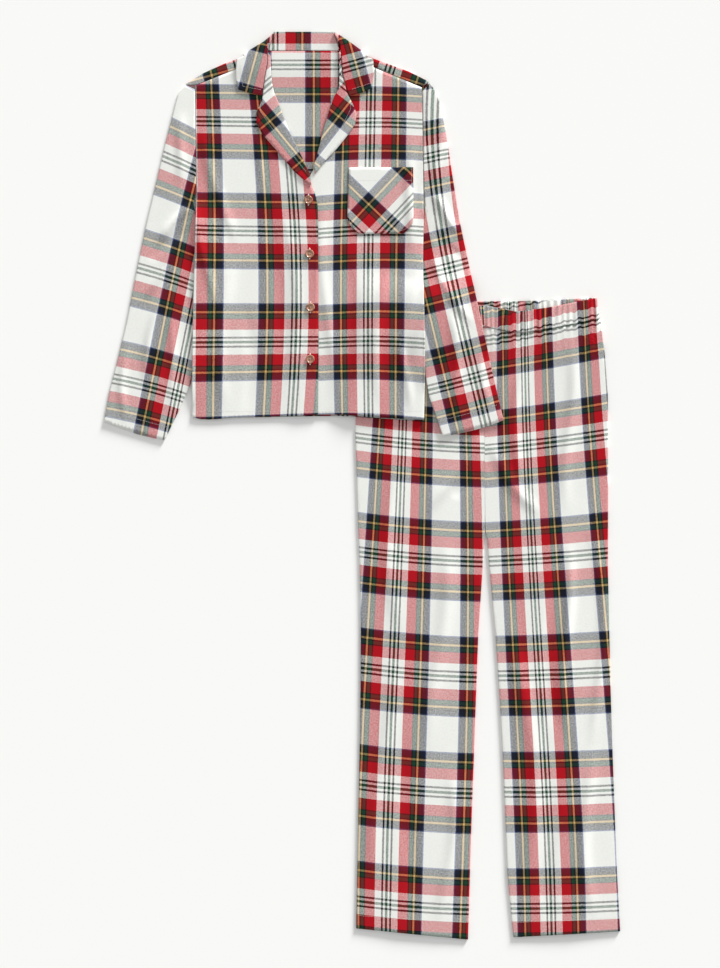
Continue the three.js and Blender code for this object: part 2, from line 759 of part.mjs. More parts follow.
// Collar: two wings on the shoulders, the fall beneath the back and the stand above the neck seam.
const WING_RADIUS = (TUBE_HEIGHT + OVER_FALL + COLLAR_GAP + DOUBLED) / 2;
const STRAIGHT_DOWN = { x: 0, y: -1 };
function collar() {
  const topLevel = (plan) => TUBE_HEIGHT + COLLAR_GAP + DOUBLED + overFall(plan);
  const turns = (degrees) => (degrees * Math.PI) / 180;
  const wing = (outline, side) => {
    const shares = [0, 0.17, 0.45, 0.72, 1];
    const inset = (s) => {
      const p = lineAt(outline.top, s);
      const inward = s < 1 ? inwardOf(outline.top, s, -side) : STRAIGHT_DOWN;
      const by = s > 0.1 ? WING_RADIUS : 0;
      return offset(p, inward, by);
    };
    const bounds = {
      top: inset,
      bottom: (u) => lineAt(outline.bottom, u),
      left: (v) => lineAt(outline.outer, 1 - v),
      right: (v) => lineAt([inset(1), ...outline.inner.slice(1)], 1 - v),
    };
    return steps(6).map((v) => shares.map((u) => {
      const plan = between(bounds, u, v);
      return { ...plan, z: topLevel(plan) };
    }));
  };
  const fallSide = (outline, rows, side) => {
    const crown = rows[rows.length - 1].slice(1);
    const shares = [0.17, 0.45, 0.72, 1];
    const arc = [180, 150, 120, 90, 60, 30, 0].map((degrees, k) => crown.map((p, i) => {
      const inward = shares[i] < 1 ? inwardOf(outline.top, shares[i], -side) : STRAIGHT_DOWN;
      const out = Math.sin(turns(degrees)) * (p.z / 2);
      const z = (p.z / 2) * (1 - Math.cos(turns(degrees)));
      return k === 0 ? p : { x: p.x - inward.x * out, y: p.y - inward.y * out, z };
    }));
    return arc;
  };
  const left = wing(WING_LEFT, -1);
  const right = wing(WING_RIGHT, 1);
  const leftArc = fallSide(WING_LEFT, left, -1);
  const rightArc = fallSide(WING_RIGHT, right, 1);
  const radius = ROLL_HEIGHT / 2;
  const standColumns = steps(4);
  const rollX = (s) => mix(STAND.rollLeft, STAND.rollRight, s);
  const seamX = (s) => mix(STAND.seamLeft, STAND.seamRight, s);
  const standTop = standColumns.map((s) => ({ x: rollX(s), y: COLLAR_ROLL_UP - radius, z: ROLL_HEIGHT }));
  const standRows = [0, 0.5].map((t) => standColumns.map((s) => ({
    x: mix(seamX(s), rollX(s), t),
    y: mix(NECK_SEAM_UP + SEAM_GAP, COLLAR_ROLL_UP - radius, t),
    z: mix(OVER_FALL + DOUBLED, ROLL_HEIGHT, t),
  })));
  const standArc = [150, 120, 90, 60, 30, 0].map((degrees) => standTop.map((p) => ({
    x: p.x,
    y: p.y + Math.sin(turns(degrees)) * radius,
    z: radius * (1 - Math.cos(turns(degrees))),
  })));
  const lastOf = (rows) => rows[rows.length - 1];
  const fallTop = [...lastOf(leftArc), ...lastOf(standArc), ...[...lastOf(rightArc)].reverse()];
  const fall = [1, 0.5, 0].map((t) => fallTop.map((p) => {
    const edgeY = Math.min(tableAt(FALL_EDGE, "x", p.x, "y"), p.y - 4);
    return { x: p.x, y: mix(edgeY, p.y, t), z: 0 };
  }));
  const mirrored = (rows) => rows.map((row) => [...row].reverse());
  const stand = [...standRows, standTop, ...standArc];
  return clothWall([left, mirrored(right), leftArc, mirrored(rightArc), stand, fall], DOUBLED, false);
}

// Sleeve: one strip of cloth round the arm with its seam at the inner edge.
function sleeve(table, capTurn, sections, shares, side, lifted) {
  const radius = FOLD_RADIUS;
  const rows = sections.map((at) => {
    const value = (column) => tableAt(table, "at", at, column);
    const outer = { x: value("outX"), y: value("outY") };
    const inner = { x: value("inX"), y: value("inY") };
    const width = Math.hypot(inner.x - outer.x, inner.y - outer.y);
    const turned = 1 - ease(at);
    const cuff = ease((at - 8.6) / 0.4) * CUFF_PEEK;
    const bow = side * UNDERARM_BOW * Math.sin(Math.PI * clamp(at / 3.5));
    const acrossAt = (u) => {
      const x = mix(outer.x, inner.x, u) + bow * Math.sin(Math.PI * clamp(u));
      return { x, y: mix(outer.y, inner.y, u) };
    };
    const topPlan = (u) => {
      const straight = acrossAt(u);
      const corner = { x: tableAt(capTurn, "at", at, "x"), y: tableAt(capTurn, "at", at, "y") };
      const first = u < CAP_TURN_SHARE;
      const t = first ? u / CAP_TURN_SHARE : (u - CAP_TURN_SHARE) / (1 - CAP_TURN_SHARE);
      const bent = first
        ? { x: mix(outer.x, corner.x, t), y: mix(outer.y, corner.y, t) }
        : { x: mix(corner.x, inner.x, t), y: mix(corner.y, inner.y, t) };
      return { x: mix(straight.x, bent.x, turned), y: mix(straight.y, bent.y, turned) };
    };
    const lowPlan = (u) => {
      const plan = acrossAt(u);
      return { x: plan.x, y: plan.y - cuff * Math.sin(Math.PI * clamp(u)) };
    };
    const across = stations(width, radius, shares, true, true);
    const square = ease(at / 0.5);
    const inwardFrom = (column) => {
      const along = {
        x: tableAt(table, "at", at + 0.3, `${column}X`) - tableAt(table, "at", at - 0.3, `${column}X`),
        y: tableAt(table, "at", at + 0.3, `${column}Y`) - tableAt(table, "at", at - 0.3, `${column}Y`),
      };
      const length = Math.hypot(along.x, along.y);
      const facing = (column === "out" ? -side : side) / length;
      return { x: -along.y * facing, y: along.x * facing };
    };
    const fromEdge = (station, plan) => {
      if (station.fromOuter === undefined && station.fromInner === undefined) return plan;
      const isOuter = station.fromOuter !== undefined;
      const base = isOuter ? outer : inner;
      const distance = isOuter ? station.fromOuter : station.fromInner;
      const inward = inwardFrom(isOuter ? "out" : "in");
      const squared = { x: base.x + inward.x * distance, y: base.y + inward.y * distance };
      return { x: mix(plan.x, squared.x, square), y: mix(plan.y, squared.y, square) };
    };
    const loft = (u) => SLEEVE_LOFT * Math.sin(Math.PI * u) ** 2 * ease(at / 2) * ease((9.2 - at) / 1.5);
    const top = [...across].reverse().map((station) => {
      const { u, left, right } = station;
      const plan = fromEdge(station, topPlan(u));
      return { ...plan, z: TUBE_HEIGHT + loft(u) - left - right + lifted(plan) };
    });
    const low = across.map((station) => {
      const { u, left, right } = station;
      const plan = fromEdge(station, lowPlan(u));
      return { ...plan, z: left + right + lifted(plan) };
    });
    return [...top, ...low];
  });
  return clothWall([rows], CLOTH, side > 0);
}

// Pocket: made on the front's own height, one gap above it.
function pocket() {
  const shares = [0, 0.16, 0.33, 0.5, 0.66, 0.76, 0.84, 0.92, 1];
  const ups = [311, 319, 328, 340, 360, 380, 402, POCKET_TOP_UP];
  const rows = ups.map((up) => shares.map((u) => {
    const x = mix(tableAt(POCKET_SIDES, "up", up, "left"), tableAt(POCKET_SIDES, "up", up, "right"), u);
    const plan = { x, y: up };
    return { ...plan, z: TUBE_HEIGHT + bodyLift(plan) + LAY_GAP + CLOTH };
  }));
  return clothWall([rows], CLOTH, false);
}

// Trouser panels: upper sheet for a front, lower sheet for a back.
const legHeight = (up) => mix(TUBE_HEIGHT, LEG_TOP_HEIGHT, ease((up - 930) / 110));
function trouserPanel(outerTable, innerTable, hem, side, isFront) {
  const column = isFront ? "front" : "back";
  const topUp = (x) => tableAt(WAIST, "x", x / BAND_SPREAD, column) - BAND_DEPTH - BAND_GAP;
  const sideLine = (table, startUp, endUp) => (v) => {
    const y = mix(startUp, endUp, v);
    return { x: tableAt(table, "up", y, "x"), y };
  };
  const outerEnd = tableAt(outerTable, "up", 1047, "x");
  const innerEnd = tableAt(innerTable, "up", 1030, "x");
  const outer = sideLine(outerTable, hem.outer, topUp(outerEnd));
  const inner = sideLine(innerTable, hem.inner, topUp(innerEnd));
  const ends = side < 0 ? { left: outer, right: inner } : { left: inner, right: outer };
  const bounds = {
    ...ends,
    bottom: (u) => lineAt([ends.left(0), ends.right(0)], u),
    top: (u) => {
      const x = mix(ends.left(1).x, ends.right(1).x, u);
      return { x, y: topUp(x) };
    },
  };
  const rowShares = [...steps(6, 0, 0.6), 0.632, 0.65, 0.667, 0.7, 0.76, 0.82, 0.88, 0.94, 1];
  const whole = () => 1;
  const belowCrotch = (up) => ease((CROTCH_UP - up) / 22);
  const rounds = side < 0 ? { left: whole, right: belowCrotch } : { left: belowCrotch, right: whole };
  const upAt = (v) => mix(hem.outer, 1047, v);
  const span = ends.right(1).x - ends.left(1).x;
  const bends = WAIST.map((row) => (row.x * BAND_SPREAD - ends.left(1).x) / span);
  const shares = [...bends, 0.14, 0.86].filter((s) => s > 0.04 && s < 0.96).sort((a, b) => a - b);
  const rows = panel(bounds, rowShares, shares, rounds, (v) => legHeight(upAt(v)) / 2,
    (plan, drop, u) => {
      const soft = LEG_LOFT * Math.sin(Math.PI * u) ** 2 * ease((800 - plan.y) / 120);
      return isFront ? legHeight(plan.y) + soft - drop : drop;
    });
  return clothWall([rows], CLOTH, !isFront);
}

// Waistband: one gathered ring, front and back, with its rounded ends at the sides.
function waistband() {
  const radius = BAND_HEIGHT / 2;
  const half = 190;
  const ring = [];
  const wave = (count, t) => 0.5 - 0.5 * Math.cos(2 * Math.PI * count * t);
  const frontCount = FRONT_GATHERS * POINTS_PER_GATHER;
  const backCount = BACK_GATHERS * POINTS_PER_GATHER;
  const straight = half - radius;
  steps(frontCount).forEach((t) => {
    const z = BAND_HEIGHT - FRONT_GATHER_DEPTH * wave(FRONT_GATHERS, t);
    ring.push({ x: mix(-straight, straight, t), z, front: 1 });
  });
  const end = (side) => [67.5, 45, 22.5, 0, -22.5, -45, -67.5].map((degrees) => {
    const turn = (degrees * Math.PI) / 180;
    return {
      x: side * (straight + Math.cos(turn) * radius),
      z: radius + Math.sin(turn) * radius,
      front: 0.5 + degrees / 180,
    };
  });
  ring.push(...end(1));
  steps(backCount).forEach((t) => {
    const z = BACK_GATHER_DEPTH * wave(BACK_GATHERS, t);
    ring.push({ x: mix(straight, -straight, t), z, front: 0 });
  });
  ring.push(...end(-1).reverse(), ring[0]);
  const rows = [1, 0].map((t) => ring.map((p) => {
    const spread = mix(1, BAND_SPREAD, t);
    const top = mix(tableAt(WAIST, "x", p.x, "back"), tableAt(WAIST, "x", p.x, "front"), p.front);
    return { x: p.x * spread, y: top - BAND_DEPTH * t, z: p.z };
  }));
  return clothWall([rows], BAND_WALL, false);
}

const manifold = await Module();
manifold.setup();

// A solid made from a closed three.js geometry.
function solidOf(geometry) {
  geometry.deleteAttribute("normal");
  geometry.deleteAttribute("uv");
  const merged = mergeVertices(geometry);
  const mesh = new manifold.Mesh({
    numProp: 3,
    vertProperties: Float32Array.from(merged.attributes.position.array),
    triVerts: Uint32Array.from(merged.index.array),
  });
  return new manifold.Manifold(mesh);
}

// A turned button with a raised rim, a dished face and four holes.
function button() {
  const dish = BUTTON_HEIGHT - BUTTON_DISH;
  const innerRim = BUTTON_RADIUS - BUTTON_RIM;
  const profile = [
    [0, 0],
    [BUTTON_RADIUS - BUTTON_EDGE, 0],
    [BUTTON_RADIUS, BUTTON_EDGE],
    [BUTTON_RADIUS, BUTTON_HEIGHT - BUTTON_ROUND],
    [BUTTON_RADIUS - BUTTON_ROUND, BUTTON_HEIGHT],
    [innerRim, BUTTON_HEIGHT - BUTTON_ROUND / 3],
    [innerRim - BUTTON_EDGE, dish],
    [0, dish],
  ].map(([r, z]) => new THREE.Vector2(r, z));
  let solid = solidOf(new THREE.LatheGeometry(profile, BUTTON_SEGMENTS).rotateX(Math.PI / 2));
  for (const [x, y] of [[1, 1], [-1, 1], [-1, -1], [1, -1]]) {
    const radius = BUTTON_HOLE_RADIUS;
    const hole = new THREE.CylinderGeometry(radius, radius, BUTTON_HEIGHT * 3, HOLE_SEGMENTS);
    hole.rotateX(Math.PI / 2).translate(x * BUTTON_HOLE_OFFSET, y * BUTTON_HOLE_OFFSET, 0);
    solid = solid.subtract(solidOf(hole));
  }
  const mesh = solid.getMesh();
  return indexedGeometry(Array.from(mesh.vertProperties), Array.from(mesh.triVerts));
}

const CLOTH_COLOUR = 0xc9a7a4;
const LIGHT_COLOUR = 0xe4dedb;
const DARK_COLOUR = 0x9c2f3a;
const BUTTON_COLOUR = 0xa4705a;
const group = new THREE.Group();
group.name = "pyjama_set";
function add(name, geometry, colour, roughness, place) {
  const material = new THREE.MeshStandardMaterial({ color: colour, roughness, metalness: 0 });
  const mesh = new THREE.Mesh(geometry.translate(place.x, place.y, place.z ?? 0), material);
  mesh.name = name;
  group.add(mesh);
}

add("shirt_back", shirtBack(), LIGHT_COLOUR, 0.95, SHIRT);
add("shirt_front_right", frontRight(), CLOTH_COLOUR, 0.95, SHIRT);
add("shirt_front_left", frontLeft(), CLOTH_COLOUR, 0.95, SHIRT);
add("sleeve_right", sleeve(SLEEVE_RIGHT, CAP_TURN_RIGHT, [0, 0.5, 1, 1.5, 2, 3, 4, 5, 6, 7, 8, 8.6, 9],
  [0.12, 0.35, 0.6, 0.84], -1, () => 0), CLOTH_COLOUR, 0.95, SHIRT);
add("sleeve_left", sleeve(SLEEVE_LEFT, CAP_TURN_LEFT,
  [0, 0.5, 1, 1.5, 2, 3, 4, 4.7, 5, 5.25, 5.5, 5.75, 6, 6.5, 7, 8, 8.6, 9],
  [0.12, 0.3, 0.5, 0.7, 0.88], 1, overTrousers), CLOTH_COLOUR, 0.95, SHIRT);
add("lapel_right", lapel(ROLL_RIGHT, EDGE_RIGHT, -1, overUnderFront), DARK_COLOUR, 0.95, SHIRT);
add("lapel_left", lapel(ROLL_LEFT, EDGE_LEFT, 1, () => 0), DARK_COLOUR, 0.95, SHIRT);
add("collar", collar(), DARK_COLOUR, 0.95, SHIRT);
add("pocket", pocket(), DARK_COLOUR, 0.95, SHIRT);
BUTTONS.forEach((p, i) => {
  const z = TUBE_HEIGHT + overUnderFront(p) + LAY_GAP;
  add(`button_${i + 1}`, button(), BUTTON_COLOUR, 0.35, { x: SHIRT.x + p.x, y: SHIRT.y + p.y, z });
});
for (const isFront of [true, false]) {
  const part = isFront ? "front" : "back";
  const colour = isFront ? CLOTH_COLOUR : LIGHT_COLOUR;
  const right = trouserPanel(LEG_LEFT_OUTER, LEG_LEFT_INNER, LEG_LEFT_HEM, -1, isFront);
  const left = trouserPanel(LEG_RIGHT_OUTER, LEG_RIGHT_INNER, LEG_RIGHT_HEM, 1, isFront);
  add(`leg_${part}_right`, right, colour, 0.95, TROUSERS);
  add(`leg_${part}_left`, left, colour, 0.95, TROUSERS);
}
add("waistband", waistband(), CLOTH_COLOUR, 0.95, TROUSERS);

// The origin is the middle of the set's bounding box, on the floor.
const box = new THREE.Box3().setFromObject(group);
const middle = box.getCenter(new THREE.Vector3());
group.children.forEach((mesh) => mesh.geometry.translate(-middle.x, -middle.y, -box.min.z));

export default group;
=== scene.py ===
import math

import bmesh
import bpy
import numpy as np
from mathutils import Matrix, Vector
from mathutils.bvhtree import BVHTree


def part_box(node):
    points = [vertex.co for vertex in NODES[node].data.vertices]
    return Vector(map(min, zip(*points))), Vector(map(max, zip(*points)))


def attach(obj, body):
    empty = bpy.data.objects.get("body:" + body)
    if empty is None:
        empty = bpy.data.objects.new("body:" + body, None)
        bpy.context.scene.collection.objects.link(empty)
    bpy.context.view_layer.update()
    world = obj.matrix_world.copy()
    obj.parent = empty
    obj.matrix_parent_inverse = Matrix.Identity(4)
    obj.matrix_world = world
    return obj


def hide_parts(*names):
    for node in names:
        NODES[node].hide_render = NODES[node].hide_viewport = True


# A flannel pyjama set in a traditional tartan, laid out flat: a buttoned shirt over a pair of trousers.
# Metres, +Z up, the surface that it lies on at z = 0.

bl_info = {
    "name": "Flannel pyjama set",
    "version": (1, 0, 0),
    "blender": (4, 5, 0),
    "location": "3D View > Sidebar > Pyjama set",
    "description": "Makes a tartan flannel pyjama set, laid out flat, round its plain solids",
    "category": "Object",
}

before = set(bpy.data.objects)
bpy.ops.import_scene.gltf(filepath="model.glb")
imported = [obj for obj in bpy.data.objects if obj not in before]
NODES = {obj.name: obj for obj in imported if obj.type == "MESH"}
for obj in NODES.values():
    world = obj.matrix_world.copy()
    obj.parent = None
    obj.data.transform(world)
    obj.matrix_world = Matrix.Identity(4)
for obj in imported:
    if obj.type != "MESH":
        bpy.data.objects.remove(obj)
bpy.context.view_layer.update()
BODY = "root"

MM = 0.001

# Where a point of the picture lies: its scale, and the picture's middle in the set's own frame.
PIXEL = 1.7 * MM
PICTURE_MIDDLE = (360, 487.5)
MIDDLE = (-3.39 * MM, -3.28 * MM)


def place(px, py):
    """A point of the picture as a point on the surface, in metres."""
    return (
        (px - PICTURE_MIDDLE[0]) * PIXEL + MIDDLE[0],
        (PICTURE_MIDDLE[1] - py) * PIXEL + MIDDLE[1],
    )


class TartanSettings(bpy.types.PropertyGroup):
    """Yarn colours and sizes of the cloth."""

    white: bpy.props.FloatVectorProperty(
        name="White yarn", description="Colour of the ground", subtype="COLOR",
        size=3, min=0, max=1, default=(0.845, 0.852, 0.815),
    )
    red: bpy.props.FloatVectorProperty(
        name="Red yarn", description="Colour of the wide bands", subtype="COLOR",
        size=3, min=0, max=1, default=(0.54, 0.002, 0.016),
    )
    navy: bpy.props.FloatVectorProperty(
        name="Navy yarn", description="Colour of the bands beside the white", subtype="COLOR",
        size=3, min=0, max=1, default=(0.010, 0.016, 0.045),
    )
    blue: bpy.props.FloatVectorProperty(
        name="Blue yarn", description="Colour of the edge lines beside the white", subtype="COLOR",
        size=3, min=0, max=1, default=(0.10, 0.15, 0.33),
    )
    green: bpy.props.FloatVectorProperty(
        name="Green yarn", description="Colour of the narrow bands", subtype="COLOR",
        size=3, min=0, max=1, default=(0.010, 0.085, 0.040),
    )
    yellow: bpy.props.FloatVectorProperty(
        name="Yellow yarn", description="Colour of the fine lines", subtype="COLOR",
        size=3, min=0, max=1, default=(0.68, 0.47, 0.19),
    )
    black: bpy.props.FloatVectorProperty(
        name="Black yarn", description="Colour of the guard lines", subtype="COLOR",
        size=3, min=0, max=1, default=(0.008, 0.010, 0.012),
    )
    half_sett: bpy.props.FloatProperty(
        name="Half sett", description="From one turning line of the check to the next",
        subtype="DISTANCE", unit="LENGTH", min=0.01, default=92.8 * MM,
    )
    warp_share: bpy.props.FloatProperty(
        name="Warp share", description="How much of the face is warp yarn", subtype="FACTOR",
        min=0, max=1, default=0.55,
    )


class MakeSettings(bpy.types.PropertyGroup):
    """Sizes of the sewing and of the cloth's mesh."""

    cell: bpy.props.FloatProperty(
        name="Cloth cell", description="Longest edge of the fine cloth mesh",
        subtype="DISTANCE", unit="LENGTH", min=0.002, default=7.0 * MM,
    )
    stitch: bpy.props.FloatProperty(
        name="Stitch", description="Length of one stitch",
        subtype="DISTANCE", unit="LENGTH", min=0.001, default=2.6 * MM,
    )
    thread: bpy.props.FloatProperty(
        name="Thread", description="Thickness of the sewing thread",
        subtype="DISTANCE", unit="LENGTH", min=0.0001, default=0.5 * MM,
    )


class StageSettings(bpy.types.PropertyGroup):
    """The camera and the lights."""

    camera_height: bpy.props.FloatProperty(
        name="Camera height", description="Height of the camera above the surface",
        subtype="DISTANCE", unit="LENGTH", min=1, default=4.0,
    )
    view_height: bpy.props.FloatProperty(
        name="View height", description="How much of the surface the picture's long side takes in",
        subtype="DISTANCE", unit="LENGTH", min=0.5, default=1.6456,
    )
    light_rise: bpy.props.FloatProperty(
        name="Light's rise", description="Degrees of the low light above the surface",
        min=5, max=90, default=15,
    )
    light_side: bpy.props.FloatProperty(
        name="Light's side", description="Degrees from straight above the picture, clockwise negative",
        min=-180, max=180, default=152,
    )
    light_spread: bpy.props.FloatProperty(
        name="Light's spread", description="Degrees across the low light", min=1, max=90, default=16,
    )
    light_strength: bpy.props.FloatProperty(
        name="Light's strength", description="Strength of the low light", min=0, default=5.2,
    )
    sky: bpy.props.FloatProperty(
        name="Sky", description="Strength of the even light all round", min=0, default=0.63,
    )


SETTINGS = (
    ("pyjama_tartan", TartanSettings),
    ("pyjama_make", MakeSettings),
    ("pyjama_stage", StageSettings),
)


def tartan():
    return bpy.context.scene.pyjama_tartan


def make():
    return bpy.context.scene.pyjama_make


# Bands of half a sett, from the green turning line to the white one: share of the half sett, yarn.
YARNS = ("white", "red", "navy", "blue", "green", "yellow", "black")
HALF_SETT_BANDS = (
    (1.1, "green"),
    (2.2, "white"),
    (2.0, "black"),
    (6.8, "white"),
    (10.3, "red"),
    (1.2, "black"),
    (3.0, "green"),
    (1.5, "black"),
    (1.9, "yellow"),
    (2.6, "black"),
    (4.3, "navy"),
    (1.1, "blue"),
    (16.7, "white"),
)

# How the check lies on each panel: points of the picture, with the count of half setts
# across (warp) and up (weft) there. Even counts are green lines, odd ones white.
YELLOW = 0.531
CHECK_LIES = {
    "shirt_front_right": (
        (266.8, 202.3, -YELLOW, YELLOW),
        (214.7, 201.8, YELLOW - 2, YELLOW),
        (213.2, 150.5, YELLOW - 2, 2 - YELLOW),
        (261.4, 151.3, -YELLOW, 2 - YELLOW),
        (212.0, 93.2, YELLOW - 2, 2 + YELLOW),
        (267.2, 261.0, -YELLOW, -YELLOW),
        (214.7, 260.1, YELLOW - 2, -YELLOW),
        (214.3, 312.6, YELLOW - 2, YELLOW - 2),
        (267.2, 312.6, -YELLOW, YELLOW - 2),
        (213.7, 372.8, YELLOW - 2, -2 - YELLOW),
        (266.0, 371.2, -YELLOW, -2 - YELLOW),
        (295.0, 231.6, 0, 0),
        (295.9, 342.0, 0, -2),
    ),
    "shirt_front_left": (
        (397.8, 95.8, YELLOW, 2 + YELLOW),
        (397.8, 151.3, YELLOW, 2 - YELLOW),
        (343.5, 151.9, -YELLOW, 2 - YELLOW),
        (340.9, 203.4, -YELLOW, YELLOW),
        (370.6, 122.8, 0, 2),
        (341.8, 261.0, -YELLOW, -YELLOW),
        (396.1, 259.9, YELLOW, -YELLOW),
        (341.5, 313.0, -YELLOW, YELLOW - 2),
        (395.6, 312.7, YELLOW, YELLOW - 2),
        (367.5, 341.5, 0, -2),
        (341.5, 371.1, -YELLOW, -2 - YELLOW),
        (395.6, 371.8, YELLOW, -2 - YELLOW),
    ),
    "sleeve_right": (
        (180.3, 250.6, -YELLOW, YELLOW),
        (168.3, 308.5, -YELLOW, -YELLOW),
        (156.1, 358.5, -YELLOW, YELLOW - 2),
        (151.2, 386.1, -YELLOW, -2),
        (145.9, 417.4, -YELLOW, -2 - YELLOW),
        (189.5, 199.1, -YELLOW, 2 - YELLOW),
        (144.3, 239.1, -1.223, YELLOW),
        (134.4, 298.1, -1.174, -YELLOW),
        (122.9, 350.1, -1.158, YELLOW - 2),
        (108.4, 408.3, -1.238, -2 - YELLOW),
        (176.5, 395.3, 0, -2),
        (171.1, 127.1, -1.25, 2 + YELLOW),
        (193.3, 138.6, -0.80, 2 + YELLOW),
        (157.3, 186.1, -1.18, 2 - YELLOW),
    ),
    "sleeve_left": (
        (448.2, 267.7, 0, 0),
        (441.6, 239.8, 0, YELLOW),
        (454.0, 298.5, 0, -YELLOW),
        (468.7, 349.1, 0, YELLOW - 2),
        (474.6, 377.3, 0, -2),
        (480.4, 407.0, 0, -2 - YELLOW),
        (438.2, 185.6, 0, 2 - YELLOW),
        (434.0, 156.8, 0, 2),
        (430.5, 129.2, 0, 2 + YELLOW),
        (440.1, 358.6, -YELLOW, YELLOW - 2),
        (453.3, 412.9, -YELLOW, -2 - YELLOW),
        (427.6, 304.4, -YELLOW, -YELLOW),
    ),
    "leg_front_right": (
        (377.9, 440.0, -YELLOW, 0),
        (426.4, 446.0, YELLOW, 0),
        (466.3, 447.5, 2 - YELLOW, 0),
        (373.0, 554.0, -YELLOW, -2),
        (424.0, 558.5, YELLOW, -2),
        (467.0, 561.0, 2 - YELLOW, -2),
        (365.5, 668.5, -YELLOW, -4),
        (419.5, 673.5, YELLOW, -4),
        (467.6, 677.0, 2 - YELLOW, -4),
        (361.0, 784.0, -YELLOW, -6),
        (415.6, 790.0, YELLOW, -6),
        (466.0, 793.6, 2 - YELLOW, -6),
        (413.0, 906.3, YELLOW, -8),
        (460.8, 908.6, 2 - YELLOW, -8),
        (386.8, 904.2, 0, -8),
    ),
    "leg_front_left": (
        (524.9, 443.7, 0, 0),
        (549.9, 441.0, YELLOW, 0),
        (589.7, 436.5, 2 - YELLOW, 0),
        (508.3, 560.0, -YELLOW, -2),
        (533.6, 559.0, 0, -2),
        (556.8, 557.5, YELLOW, -2),
        (600.5, 553.8, 2 - YELLOW, -2),
        (514.5, 675.5, -YELLOW, -4),
        (541.6, 675.6, 0, -4),
        (562.5, 674.0, YELLOW, -4),
        (609.5, 671.7, 2 - YELLOW, -4),
        (519.5, 792.0, -YELLOW, -6),
        (546.2, 791.8, 0, -6),
        (571.8, 790.0, YELLOW, -6),
        (525.0, 907.8, -YELLOW, -8),
        (577.7, 907.5, YELLOW, -8),
        (536.0, 330.0, 0.28, 2),
        (584.0, 322.5, 2 - YELLOW, 2),
        (492.0, 340.5, -0.82, 2),
        (546.2, 379.9, YELLOW, 1.2),
    ),
}


def metres(points):
    """Rows of x, y, warp, weft with the place in metres."""
    return np.array([(*place(row[0], row[1]), row[2], row[3]) for row in points])


FIT_REACH = 0.25
FIT_STIFFNESS = (0, 0, 0, 0.02, 0.02, 0.02, 0.08, 0.08)


def check_map(points):
    """A smooth map from place to half-sett counts through the given rows."""
    rows = metres(points)
    centre = rows[:, :2].mean(0)

    def terms(xy):
        x, y = ((xy - centre) / FIT_REACH).T
        return np.stack([np.ones_like(x), x, y, x * y, x * x, y * y, x * y * y, y * y * y], 1)

    basis = np.vstack([terms(rows[:, :2]), np.diag(FIT_STIFFNESS)])
    wanted = np.vstack([rows[:, 2:], np.zeros((len(FIT_STIFFNESS), 2))])
    weights = np.linalg.lstsq(basis, wanted, rcond=None)[0]
    return lambda xy: terms(xy) @ weights


# Cloth meshes


def merged_arrays(node):
    """Points and triangles of a plain solid, with points that coincide made one."""
    mesh = NODES[node].data
    mesh.calc_loop_triangles()
    points = np.zeros(len(mesh.vertices) * 3)
    mesh.vertices.foreach_get("co", points)
    triangles = np.zeros(len(mesh.loop_triangles) * 3, np.int32)
    mesh.loop_triangles.foreach_get("vertices", triangles)
    keys = np.round(points.reshape(-1, 3) / 1e-6).astype(np.int64)
    _, first, index = np.unique(keys, axis=0, return_index=True, return_inverse=True)
    triangles = index.ravel()[triangles].reshape(-1, 3)
    whole = (triangles[:, 0] != triangles[:, 1]) & (triangles[:, 1] != triangles[:, 2])
    whole &= triangles[:, 0] != triangles[:, 2]
    return points.reshape(-1, 3)[first], triangles[whole]


def edges_of(triangles):
    """The edges, each once, and for each triangle the numbers of its three edges."""
    pairs = np.sort(triangles[:, [0, 1, 1, 2, 2, 0]].reshape(-1, 2), axis=1)
    edges, index = np.unique(pairs, axis=0, return_inverse=True)
    return edges, index.reshape(-1, 3)


def refined(points, triangles, longest):
    """Halves edges longer than given until none is left."""
    for _ in range(12):
        edges, of_triangle = edges_of(triangles)
        marked = np.linalg.norm(points[edges[:, 0]] - points[edges[:, 1]], axis=1) > longest
        if not marked.any():
            break
        middle = np.full(len(edges), -1)
        middle[marked] = len(points) + np.arange(marked.sum())
        points = np.vstack([points, points[edges[marked]].mean(1)])
        cuts = middle[of_triangle]
        count = (cuts >= 0).sum(1)
        parts = [triangles[count == 0]]
        for turn in range(3):
            a, b, c = (triangles[:, (turn + k) % 3] for k in range(3))
            ab, bc, ca = (cuts[:, (turn + k) % 3] for k in range(3))
            one = (count == 1) & (ab >= 0)
            parts += [np.stack(t, 1)[one] for t in ((a, ab, c), (ab, b, c))]
            two = (count == 2) & (ca < 0)
            parts += [np.stack(t, 1)[two] for t in ((ab, b, bc), (a, ab, bc), (a, bc, c))]
        a, b, c = triangles[count == 3].T
        ab, bc, ca = cuts[count == 3].T
        parts += [np.stack(t, 1) for t in ((a, ab, ca), (ab, b, bc), (ca, bc, c), (ab, bc, ca))]
        triangles = np.vstack(parts)
    return points, triangles


SIDE_LIMIT = 0.6
SMOOTH_ROUNDS = 24


def soften_heights(points, triangles):
    """Rounds the facets of the laid sheets: only heights move, and edges stay as they are."""
    corners = points[triangles]
    normals = np.cross(corners[:, 1] - corners[:, 0], corners[:, 2] - corners[:, 0])
    steep = np.abs(normals[:, 2]) < SIDE_LIMIT * np.linalg.norm(normals, axis=1)
    free = np.ones(len(points), bool)
    free[triangles[steep]] = False
    edges, _ = edges_of(triangles)
    count = np.bincount(edges.ravel(), minlength=len(points))
    z = points[:, 2].copy()
    for _ in range(SMOOTH_ROUNDS):
        total = np.bincount(edges[:, 0], z[edges[:, 1]], len(points))
        total += np.bincount(edges[:, 1], z[edges[:, 0]], len(points))
        z = np.where(free, (z + total / count) / 2, z)
    return np.column_stack([points[:, :2], z])


